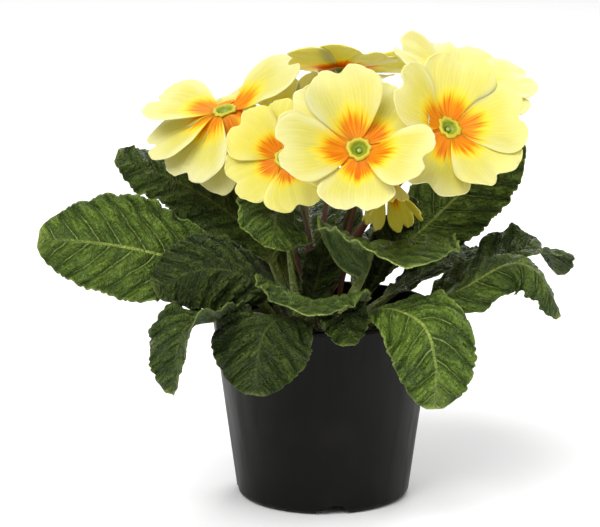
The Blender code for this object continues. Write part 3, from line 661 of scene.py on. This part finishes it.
def petalPlace(across, along, size, width, rise, level, ripple, seed):
    reach = bloomStyle["reach"] * size - bloomStyle["root"]
    swell = sin(pi / 2 * min(1.0, along / bloomStyle["widest"]))
    past = max(0.0, (along - bloomStyle["widest"]) / (1 - bloomStyle["widest"]))
    swell -= (1 - bloomStyle["tip"]) * past**2
    root = bloomStyle["root"] * width / size / bloomStyle["reach"]
    half = root + (width - root) * swell
    dent = bloomStyle["notch"] * bell(across, bloomStyle["notchSpread"]) * along**3
    shoulder = bloomStyle["shoulder"] * abs(across) ** 3 * along
    nick = bloomStyle["nick"] * noiseAt(across * 5, seed, 3.1) * along**4
    out = reach * along * (1 - dent - shoulder + nick)
    up = out * sin(rise) * ease(-0.1, 0.45, along)
    out *= cos(rise)
    up += level * ease(0.0, 0.4, along)
    up += ripple * along * along * sin(2.8 * across + 9000 * ripple)
    up += bloomStyle["cup"] * size * across * across * along
    rim = ease(0.45, 1.0, max(along, abs(across) * min(1, along * 1.6)))
    stray = noiseAt(across * 2.4, along * 1.6, seed)
    up += bloomStyle["ruffle"] * size * rim * stray
    fold = bell(across, bloomStyle["foldSpread"])
    up -= bloomStyle["fold"] * fold * along * (1 - 0.5 * along)
    stray = noiseAt(across * 3, along, seed)
    up += bloomStyle["crimp"] * sin(across * 26 + 3 * stray) * along
    return Vector((bloomStyle["root"] + out, half * across, up))


petalMarks = ("along", "across", "spot", "paintedBacklight")


def addPetal(shape, layers, bearing, petal, paintedBacklight):
    columns, rows = bloomStyle["columns"], bloomStyle["rows"]
    made = bmesh.ops.create_grid(shape, x_segments=columns, y_segments=rows, size=1)
    spin = Matrix.Rotation(radians(bearing), 4, "Z")
    for vertex in made["verts"]:
        across = -vertex.co.x
        along = ((vertex.co.y + 1) / 2) ** 0.85
        vertex.co = spin @ petalPlace(across, along, *petal)
        for layer, value in zip(layers, (along, across, petal[-1], paintedBacklight)):
            vertex[layer] = value


def addCollar(shape, layers, petals, size):  # the petals grow from one ring, so no gap shows there
    made = bmesh.ops.create_grid(shape, x_segments=120, y_segments=8, size=1)
    ring = sorted((bearing % 360, rise, level) for bearing, rise, level in petals)
    before, after = ring[-1], ring[0]
    ring = [(before[0] - 360, *before[1:])] + ring + [(after[0] + 360, *after[1:])]
    collar = bloomStyle["collar"]
    for vertex in made["verts"]:
        turn = (vertex.co.x + 1) * 180
        part = (vertex.co.y + 1) / 2
        index = next(index for index in range(1, len(ring)) if ring[index][0] >= turn % 360)
        first, second = ring[index - 1], ring[index]
        gap = second[0] - first[0]
        share = (turn % 360 - first[0]) / gap
        rise = radians(first[1] + (second[1] - first[1]) * share)
        level = bloomStyle["level"] * (first[2] + (second[2] - first[2]) * share)
        along = (collar["reach"] if gap < collar["wideGap"] else collar["shortReach"]) * part
        out = (bloomStyle["reach"] * size - bloomStyle["root"]) * along
        up = out * sin(rise) * ease(-0.1, 0.45, along)
        up += level * ease(0.0, 0.4, along)
        radius = bloomStyle["root"] + out * cos(rise)
        x, y = radius * cos(radians(turn)), radius * sin(radians(turn))
        vertex.co = Vector((x, y, up - collar["drop"] * part))
        for layer, value in zip(layers, (along, 0.0, turn / 40, 0)):
            vertex[layer] = value
    bmesh.ops.remove_doubles(shape, verts=made["verts"], dist=0.002 * mm)


def buildBloom(name, bloom, luck, material):
    size = bloom["size"]
    shape = bmesh.new()
    layers = [shape.verts.layers.float.new(mark) for mark in petalMarks]
    width = bloomStyle["halfWidth"] * size * min(1.0, 5.4 / len(bloom["petals"]))
    for index, (bearing, rise, level) in enumerate(bloom["petals"]):
        ripple = luck.uniform(0.5, 1.1) * mm * size
        rise = radians(rise + luck.uniform(-2, 2))
        rolled = width * cos(max(0.0, rise))
        seed = index * 3.7 + bloom["throat"][0]
        petal = (size, rolled, rise, level * bloomStyle["level"], ripple, seed)
        addPetal(shape, layers, bearing, petal, bloom.get("paintedBacklight", 0.0))
    addCollar(shape, layers, bloom["petals"], size)
    petals = addOnBloom("petals", name, meshOf(shape, name), material)
    thicken(petals, bloomStyle["thickness"], 0)


def buildEye(name, bloom, material):  # the raised green lip, the funnel and the tube below it
    flare = bloomStyle["flare"] * (0.5 + 0.5 * bloom["size"])
    tube = bloomStyle["tube"]
    profile = [(tube, -bloomStyle["tubeLength"]), (tube, -bloomStyle["tubeTop"])]
    profile += [(out * mm, up * mm) for out, up in bloomStyle["throatProfile"]]
    profile += [(flare + out * mm, up * mm) for out, up in bloomStyle["lipProfile"]]
    shape = turnedSheet(profile, bloomStyle["lipSides"])
    layer = shape.verts.layers.float.new("lip")
    for vertex in shape.verts:
        x, y, z = vertex.co
        angle = atan2(y, x)
        lip = ease(flare - 1.6 * mm, flare - 0.5 * mm, hypot(x, y))
        stray = noiseAt(cos(angle) * 2.6, sin(angle) * 2.6, bloom["throat"][0])
        fade = 1 + (0.04 * sin(10 * angle + 2 * stray) + 0.22 * stray) * lip
        vertex.co.x *= fade
        vertex.co.y *= fade
        vertex[layer] = lip * ease(-0.5 * mm, 0.5 * mm, z)
    piece = addOnBloom("eye", name, meshOf(shape, name, True), material)
    thicken(piece, bloomStyle["lipThickness"], 0)


petalColours = dict(
    base=(0.58, 0.52, 0.095, 1),
    rim=(0.66, 0.625, 0.30, 1),
    wash=(0.64, 0.59, 0.20, 1),
    rib=(0.72, 0.69, 0.36, 1),
    # painted light shining through the petals
    paintedBacklight=(0.80, 0.68, 0.07, 1),
    glow=(0.78, 0.60, 0.035, 1),
    halo=(0.80, 0.42, 0.006, 1),
    star=(0.78, 0.25, 0.002, 1),
    starDeep=(0.68, 0.13, 0.001, 1),
)


def makePetalMaterial():
    material, tree, shader = startMaterial("petalYellow")
    along, across, spot, paintedBacklight = [attribute(tree, mark) for mark in petalMarks]
    stretched = together(tree, scaled(tree, across, 7.0), along, spot)
    streak = speckle(tree, stretched, 1.6, 4, 0.6)
    middle = sums(tree, "ABSOLUTE", across)
    bow = scaled(tree, sums(tree, "POWER", middle, 1.3), -0.26)
    border = sums(tree, "ADD", bow, scaled(tree, streak, 0.42, 0.16))
    past = sums(tree, "SUBTRACT", along, border)  # how far beyond the border of the star
    core = between(tree, past, 0.04, -0.08)
    halo = between(tree, past, 0.11, -0.01)
    glow = between(tree, past, 0.24, 0.04)
    ribs = sums(tree, "SINE", scaled(tree, across, 62.0, scaled(tree, streak, 14.0)))
    wash = between(tree, speckle(tree, placeOf(tree), 70, 2), 0.35, 0.7, 0.0, 0.5)
    deep = between(tree, streak, 0.40, 0.66)
    colour = petalColours["base"]
    for share, paint in (
        (between(tree, sums(tree, "MAXIMUM", along, middle), 0.55, 1.0), petalColours["rim"]),
        (wash, petalColours["wash"]),
        (between(tree, ribs, 0.2, 1.0, 0.0, 0.16), petalColours["rib"]),
        (scaled(tree, paintedBacklight, 0.75), petalColours["paintedBacklight"]),
        (glow, petalColours["glow"]),
        (halo, petalColours["halo"]),
        (core, mixed(tree, deep, petalColours["star"], petalColours["starDeep"])),
    ):
        colour = mixed(tree, share, colour, paint)
    dress(tree, shader, colour, 0.55, scaled(tree, ribs, 0.5, streak), 0.25)
    shader.inputs["Specular IOR Level"].default_value = 0.16
    shader.inputs["Subsurface Weight"].default_value = 0.7
    shader.inputs["Subsurface Scale"].default_value = 1.0
    shader.inputs["Subsurface Radius"].default_value = (0.0022, 0.0020, 0.0010)
    return material


eyeColours = dict(
    inner=((0.15, 0.23, 0.007, 1), (0.31, 0.38, 0.018, 1)),
    lip=((0.42, 0.38, 0.014, 1), (0.60, 0.49, 0.018, 1)),
)


def makeEyeMaterial():
    material, tree, shader = startMaterial("throatGreen")
    grain = speckle(tree, placeOf(tree), 1500, 3)
    inner = mixed(tree, grain, *eyeColours["inner"])
    lip = mixed(tree, grain, *eyeColours["lip"])
    dress(tree, shader, mixed(tree, attribute(tree, "lip"), inner, lip), 0.5, grain)
    return material


# flower stalks

stemStyle = dict(
    ring=6.5 * mm,
    foot=62.35 * mm,
    rooting=6 * mm,
    mound=2.5 * mm,
    radius=0.95 * mm,
    steps=40,
    sides=14,
    tuck=1.6 * mm,  # how far below the tube the stem ends, inside the cup
    calyx=4.2 * mm,
    calyxLength=8.2 * mm,
    calyxFoot=2.5 * mm,
    calyxThickness=0.45 * mm,
    calyxSides=60,
    calyxRows=16,
    teeth=2.2 * mm,
    gap=0.35 * mm,
    hairs=260,
    hairLength=0.9 * mm,
    hairHalfWidth=0.045 * mm,
    stigmaProfile=(
        (0, -0.55), (0.55, -0.62), (0.95, -0.95), (1.0, -1.3), (0.7, -1.7), (0.5, -2.3),
    ),
    style=0.5 * mm,
    stemRed=(0.10, 0.030, 0.018, 1),
    stemGreen=(0.20, 0.24, 0.06, 1),
    cupPale=(0.34, 0.40, 0.12, 1),
    cupDark=(0.12, 0.18, 0.04, 1),
    stigmaDark=(0.24, 0.33, 0.05, 1),
    stigmaPale=(0.40, 0.46, 0.10, 1),
)
tubeEnd = -bloomStyle["tubeLength"] - stemStyle["gap"]


def stalkSeats():  # evenly round the middle, in the order in which the blooms lie round it
    order = sorted(blooms, key=lambda name: atan2(*blooms[name]["throat"][1::-1]))
    seats = {}
    for index, name in enumerate(order):
        angle = -pi + tau * (index + 0.5) / len(order)
        seats[name] = Vector((cos(angle), sin(angle), 0)) * stemStyle["ring"]
    return seats


def stalkLine(start, end, arrival):
    points = [start]
    start = start + Vector((0, 0, stemStyle["rooting"] + stemStyle["mound"]))
    reach = (end - start).length
    first = start + Vector((0, 0, reach * 0.45))
    second = end - arrival * reach * 0.3
    for step in range(stemStyle["steps"] + 1):
        t = step / stemStyle["steps"]
        far = 1 - t
        blend = first * 3 * t * far**2 + second * 3 * t**2 * far
        points.append(start * far**3 + blend + end * t**3)
    return points


def buildStem(name, bloom, seat, material, luck):
    matrix = bloomMatrix(bloom)
    axis = matrix.to_3x3() @ Vector((0, 0, 1))
    top = matrix @ Vector((0, 0, tubeEnd - stemStyle["tuck"]))
    start = seat.copy()
    start.z = stemStyle["foot"]
    points = stalkLine(start, top, axis)
    rows = len(points) - 1
    shape = bmesh.new()
    bmesh.ops.create_grid(shape, x_segments=stemStyle["sides"], y_segments=rows, size=1)
    layer = shape.verts.layers.float.new("height")
    for vertex in shape.verts:
        index = round((vertex.co.y + 1) / 2 * rows)
        around = (vertex.co.x + 1) * pi
        ahead = points[min(index + 1, rows)] - points[max(index - 1, 0)]
        turn = ahead.to_track_quat("Z", "Y")
        wobble = 1 + 0.08 * sin(3 * around + index * 0.15)
        radius = stemStyle["radius"] * wobble * (1.12 - 0.2 * index / rows)
        out = Vector((cos(around), sin(around), 0)) * radius
        vertex.co = points[index] + turn @ out
        vertex[layer] = index / rows
    bmesh.ops.remove_doubles(shape, verts=shape.verts, dist=0.01 * mm)
    bmesh.ops.holes_fill(shape, edges=shape.edges, sides=0)
    addHairs(shape, layer, points, luck)
    mesh, node = meshOf(shape, name, True), name.replace("bloom", "stalk")
    addPiece(name.replace("bloom", "stem"), mesh, [material], node)


def addHairs(shape, layer, points, luck):  # short down, each hair a slim three-sided spike
    thin = stemStyle["hairHalfWidth"]
    for _ in range(stemStyle["hairs"]):
        index = luck.randrange(4, len(points) - 1)
        around = luck.uniform(0, tau)
        turn = (points[index + 1] - points[index]).to_track_quat("Z", "Y")
        out = turn @ Vector((cos(around), sin(around), luck.uniform(-0.2, 0.4)))
        base = points[index].lerp(points[index + 1], luck.random())
        base += out * stemStyle["radius"] * 0.8
        tip = base + out * stemStyle["hairLength"] * luck.uniform(0.5, 1.0)
        aside = out.orthogonal().normalized() * thin
        across = out.cross(aside).normalized() * thin
        ring = [shape.verts.new(base + part) for part in (aside, across, -aside - across)]
        peak = shape.verts.new(tip)
        for vertex in ring + [peak]:
            vertex[layer] = index / len(points)
        shape.faces.new(ring)
        for first, second in zip(ring, ring[1:] + ring[:1]):
            shape.faces.new((first, second, peak))


def buildCalyx(name, material):  # a pleated green cup with five pointed teeth
    shape = bmesh.new()
    sides, rows = stemStyle["calyxSides"], stemStyle["calyxRows"]
    bmesh.ops.create_grid(shape, x_segments=sides, y_segments=rows, size=1)
    layer = shape.verts.layers.float.new("pleat")
    slim, teeth, foot = stemStyle["radius"], stemStyle["teeth"], stemStyle["calyxFoot"]
    for vertex in shape.verts:
        part = (vertex.co.y + 1) / 2
        around = (vertex.co.x + 1) * pi
        pleat = abs(cos(2.5 * around))
        tooth = pleat**0.8 * teeth * 1.6 - teeth * 0.8
        radius = slim + (stemStyle["calyx"] - slim) * min(1, part * 2.4) ** 0.6
        radius *= 0.94 + 0.10 * pleat - 0.06 * part
        height = tubeEnd - foot + (stemStyle["calyxLength"] + foot) * part
        height += tooth * ease(0.6, 1.0, part)
        vertex.co = Vector((cos(around) * radius, sin(around) * radius, height))
        vertex[layer] = pleat
    bmesh.ops.remove_doubles(shape, verts=shape.verts, dist=0.01 * mm)
    piece = addOnBloom("calyx", name, meshOf(shape, name, True), material)
    thicken(piece, stemStyle["calyxThickness"], -1)


def buildStyle(name, material):  # the style up the tube, with its round stigma in the eye
    profile = [(out * mm, up * mm) for out, up in stemStyle["stigmaProfile"]]
    profile += [(stemStyle["style"], tubeEnd), (0, tubeEnd)]
    addOnBloom("stigma", name, meshOf(turnedSheet(profile, 24), name, True), material)


def makeStemMaterial():
    material, tree, shader = startMaterial("stemRedGreen")
    grain = speckle(tree, placeOf(tree, (1, 1, 0.2)), 900, 3)
    shade = between(tree, scaled(tree, grain, 0.4, attribute(tree, "height")), 0.55, 1.15)
    colour = mixed(tree, shade, stemStyle["stemRed"], stemStyle["stemGreen"])
    dress(tree, shader, colour, 0.5, grain)
    return material


def makeCalyxMaterial():
    material, tree, shader = startMaterial("calyxGreen")
    grain = speckle(tree, placeOf(tree), 1200, 3)
    shade = scaled(tree, grain, 0.4, scaled(tree, attribute(tree, "pleat"), 0.7))
    shade = between(tree, shade, 0.4, 0.95)
    colour = mixed(tree, shade, stemStyle["cupPale"], stemStyle["cupDark"])
    dress(tree, shader, colour, 0.55, grain)
    return material


def makeStigmaMaterial():
    material, tree, shader = startMaterial("stigmaPale")
    grain = speckle(tree, placeOf(tree), 2500, 2)
    colour = mixed(tree, grain, stemStyle["stigmaDark"], stemStyle["stigmaPale"])
    dress(tree, shader, colour, 0.4)
    return material


# pot and soil

potStyle = dict(
    top=45 * mm,
    foot=35 * mm,
    height=77 * mm,
    wall=1.3 * mm,
    floor=1.6 * mm,
    corner=3.0 * mm,
    softEdge=0.35 * mm,
    bead=0.5 * mm,
    beadHeight=1.8 * mm,
    sides=144,
    notches=4,
    notchTurn=radians(-84),
    notchDepth=15 * mm,
    notchShell=1.2 * mm,
    notchOutline=((-7.5, -1), (-6.5, 1.6), (-2.5, 2.2), (-0.5, 3.9), (3.5, 3.9), (8.5, -1)),
    drain=2.2 * mm,
    dark=(0.0035, 0.0032, 0.0028, 1),
    dusty=(0.0075, 0.0070, 0.0064, 1),
)


def potRadius(height, inset=0.0):
    share = height / potStyle["height"]
    return potStyle["foot"] + (potStyle["top"] - potStyle["foot"]) * share - inset


def cornerPoints(radius, height, corner, steps):
    points = []
    for step in range(steps + 1):
        angle = pi / 2 * step / steps
        out = radius - corner + corner * cos(angle)
        points.append((out, height + corner - corner * sin(angle)))
    return points


def closedTurn(name, profile):
    return placed(name, meshOf(turnedSheet(profile, potStyle["sides"]), name, True))


def notchTurn(index):
    return Matrix.Rotation(potStyle["notchTurn"] + tau * index / potStyle["notches"], 4, "Z")


def notchCutter(index, grow, reach):  # grow widens it, for the shell round the notch
    shape = bmesh.new()
    ring = []
    for x, z in potStyle["notchOutline"]:
        side = grow if x > 0 else -grow
        ring.append(shape.verts.new((0, x * mm + side, z * mm + (grow if z > 0 else 0))))
    pushed = bmesh.ops.extrude_face_region(shape, geom=[shape.faces.new(ring)])
    moved = [part for part in pushed["geom"] if isinstance(part, bmesh.types.BMVert)]
    bmesh.ops.translate(shape, verts=moved, vec=(reach + 4 * mm, 0, 0))
    cutter = placed("notchCutter", meshOf(shape, "notchCutter", True))
    cutter.matrix_world = notchTurn(index) @ Matrix.Translation((potStyle["foot"] - reach, 0, 0))
    return cutter


def drainCutter(index):
    shape = bmesh.new()
    size = potStyle["drain"]
    bmesh.ops.create_cone(
        shape, cap_ends=True, segments=32, radius1=size, radius2=size, depth=5 * mm
    )
    cutter = placed("drainCutter", meshOf(shape, "drainCutter"))
    middle = (potStyle["foot"] - potStyle["notchDepth"] / 2, 1.5 * mm, 5 * mm)
    cutter.matrix_world = notchTurn(index) @ Matrix.Translation(middle)
    return cutter


def cutWith(thing, cutters):
    for cutter in cutters:
        modifier = thing.modifiers.new("Cut", "BOOLEAN")
        modifier.operation = "DIFFERENCE"
        modifier.object = cutter
    bpy.context.view_layer.update()
    graph = bpy.context.evaluated_depsgraph_get()
    mesh = bpy.data.meshes.new_from_object(thing.evaluated_get(graph))
    thing.modifiers.clear()
    thing.data = mesh
    for cutter in cutters:
        bpy.data.objects.remove(cutter)


def buildPot(material):
    height, wall, floor = potStyle["height"], potStyle["wall"], potStyle["floor"]
    bead = potStyle["top"] + potStyle["bead"]
    under = height - potStyle["beadHeight"]
    soft, corner = potStyle["softEdge"], potStyle["corner"]
    profile = [
        (0, height),
        (bead - soft, height),
        (bead, height - soft),
        (bead, under + soft),
        (bead - soft, under),
        (potRadius(under - potStyle["bead"]), under - potStyle["bead"]),
    ]
    pot = closedTurn("potShell", profile + cornerPoints(potStyle["foot"], 0, corner, 8) + [(0, 0)])
    top = height + 2 * mm
    inner = [(0, top), (potRadius(top, wall), top)]
    inner += cornerPoints(potRadius(floor, wall), floor, corner - wall, 6) + [(0, floor)]
    cavity = closedTurn("potCavity", inner)
    shell, depth = potStyle["notchShell"], potStyle["notchDepth"]
    notches = range(potStyle["notches"])
    cutWith(cavity, [notchCutter(index, shell, depth + shell) for index in notches])
    cuts = [notchCutter(index, 0, depth) for index in notches]
    cuts += [drainCutter(index) for index in notches]
    cutWith(pot, [cavity] + cuts)
    pot.data.materials.append(material)
    pot.data.shade_smooth()
    pot.data.set_sharp_from_angle(angle=radians(35))
    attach(pot, "root")
    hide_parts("pot")


def makePotMaterial():
    material, tree, shader = startMaterial("potPlastic")
    place = placeOf(tree)
    drawn = speckle(tree, placeOf(tree, (1, 1, 0.06)), 260, 3)
    dust = between(tree, speckle(tree, place, 45, 5), 0.45, 0.8)
    colour = mixed(tree, dust, potStyle["dark"], potStyle["dusty"])
    height = scaled(tree, drawn, 0.6, scaled(tree, speckle(tree, place, 1400, 3), 0.4))
    dress(tree, shader, colour, between(tree, drawn, 0.3, 0.7, 0.36, 0.5), height, 0.12)
    shader.inputs["Specular IOR Level"].default_value = 0.11
    return material


soilStyle = dict(
    level=68 * mm,
    mound=2.5 * mm,
    lump=0.8 * mm,
    crumb=0.5 * mm,
    rings=60,
    sides=200,
    crumbs=320,
    clearance=0.3 * mm,
    foot=6 * mm,
    dark=(0.018, 0.011, 0.007, 1),
    brown=(0.05, 0.032, 0.02, 1),
    dry=(0.11, 0.075, 0.045, 1),
)


def soilRise(x, y, edge):
    out = hypot(x, y) / edge
    lumps = noise.noise(Vector((x, y, 0)) / (6 * mm))
    crumbs = noise.fractal(Vector((x, y, 5 * mm)) / (1.6 * mm), 1.0, 2.0, 4)
    rise = soilStyle["mound"] * (1 - out * out) + soilStyle["lump"] * lumps
    return (rise + soilStyle["crumb"] * crumbs) * ease(1.0, 0.9, out)


def buildSoil(material, luck):
    level, inset = soilStyle["level"], potStyle["wall"] + soilStyle["clearance"]
    edge = potRadius(level, inset)
    floor = potStyle["floor"] + soilStyle["foot"]
    rings = soilStyle["rings"]
    profile = [(edge * ring / rings, level) for ring in range(rings + 1)]
    profile += [(potRadius(floor, inset), floor), (0, floor)]
    shape = turnedSheet(profile, soilStyle["sides"])
    for vertex in shape.verts:
        if abs(vertex.co.z - level) < 0.01 * mm:
            vertex.co.z += soilRise(vertex.co.x, vertex.co.y, edge)
    for _ in range(soilStyle["crumbs"]):
        angle, out = luck.uniform(0, tau), edge * sqrt(luck.uniform(0, 0.93))
        x, y = out * cos(angle), out * sin(angle)
        size = luck.uniform(0.5, 1.5) * mm
        made = bmesh.ops.create_icosphere(shape, subdivisions=1, radius=size)
        for vertex in made["verts"]:
            vertex.co *= luck.uniform(0.6, 1.15)
            vertex.co += Vector((x, y, level + soilRise(x, y, edge) + size * 0.2))
    addPiece("peatSoil", meshOf(shape, "peatSoil", True), [material], "soil")


def makeSoilMaterial():
    material, tree, shader = startMaterial("peat")
    place = placeOf(tree)
    grain = speckle(tree, place, 700, 6, 0.65)
    patch = between(tree, speckle(tree, place, 90, 3), 0.35, 0.7)
    body = mixed(tree, patch, soilStyle["dark"], soilStyle["brown"])
    colour = mixed(tree, between(tree, grain, 0.5, 0.75), body, soilStyle["dry"])
    dress(tree, shader, colour, 0.95, grain, 0.8, 0.6 * mm)
    return material


# studio

studio = dict(
    camera=(-0.0093, -1.00473, 0.31649),
    tilt=radians(77.53),
    lens=154.3,
    sensor=36,
    floor=60.0,
    floorPale=((0.93, 0.93, 0.93, 1), (0.96, 0.96, 0.96, 1)),
    backdrop=0.36,
    sunPower=2.8,
    sunSpread=radians(52),
    sunAim=(0.35, 0.55, -0.85),
    lamps={  # place, size, power
        "keyLight": ((-0.5, -0.7, 1.0), 0.7, 2.5),
        "fillLight": ((0.9, -0.6, 0.5), 0.8, 2.5),
        "backLight": ((0.3, 0.9, 0.9), 0.7, 9),
    },
    lampAim=(0, 0, 0.1),
)


def buildCamera():
    lens = bpy.data.cameras.new("photoCamera")
    lens.lens = studio["lens"]
    lens.sensor_width = studio["sensor"]
    camera = placed("photoCamera", lens)
    camera.location = studio["camera"]
    camera.rotation_euler = (studio["tilt"], 0, 0)
    bpy.context.scene.camera = camera


def buildFloor():
    shape = bmesh.new()
    bmesh.ops.create_grid(shape, x_segments=1, y_segments=1, size=studio["floor"] / 2)
    floor = placed("paleFloor", meshOf(shape, "paleFloor"))
    material, tree, shader = startMaterial("paleFloor")
    grain = speckle(tree, placeOf(tree), 30, 2)
    dress(tree, shader, mixed(tree, grain, *studio["floorPale"]), 0.7)
    floor.data.materials.append(material)


def buildLight():
    world = bpy.data.worlds.new("studioLight")
    world.use_nodes = True
    sky = world.node_tree.nodes["Background"]
    sky.inputs["Color"].default_value = (1, 1, 1, 1)
    sky.inputs["Strength"].default_value = studio["backdrop"]
    bpy.context.scene.world = world
    bpy.context.scene.view_settings.view_transform = "Standard"
    sun = bpy.data.lights.new("highSun", "SUN")
    sun.energy = studio["sunPower"]
    sun.angle = studio["sunSpread"]
    high = placed("highSun", sun)
    high.rotation_euler = Vector(studio["sunAim"]).to_track_quat("-Z", "Y").to_euler()
    for name, lamp in studio["lamps"].items():
        addLamp(name, *lamp)


def addLamp(name, place, size, power):
    light = bpy.data.lights.new(name, "AREA")
    light.shape = "DISK"
    light.size = size
    light.energy = power
    lamp = placed(name, light)
    lamp.location = place
    aim = Vector(studio["lampAim"]) - Vector(place)
    lamp.rotation_euler = aim.to_track_quat("-Z", "Y").to_euler()


print("studio")
buildCamera()
buildFloor()
buildLight()
print("pot and soil")
bloomLuck, soilLuck, hairLuck = random.Random(11), random.Random(5), random.Random(8)
buildPot(makePotMaterial())
buildSoil(makeSoilMaterial(), soilLuck)
print("leaves")
leafMaterials = [makeLeafMaterial("leafTop", 1), makeLeafMaterial("leafUnder", -1)]
for number, (name, leaf) in enumerate(leaves.items()):
    buildLeaf(name, {**plainLeaf, **leaf}, number * 1.37 + 0.2, leafMaterials)
print("blooms")
petalMaterial, eyeMaterial = makePetalMaterial(), makeEyeMaterial()
stemMaterial, calyxMaterial = makeStemMaterial(), makeCalyxMaterial()
stigmaMaterial = makeStigmaMaterial()
seats = stalkSeats()
for name, bloom in blooms.items():
    buildBloom(name, bloom, bloomLuck, petalMaterial)
    buildEye(name, bloom, eyeMaterial)
    buildStem(name, bloom, seats[name], stemMaterial, hairLuck)
    buildCalyx(name, calyxMaterial)
    buildStyle(name, stigmaMaterial)
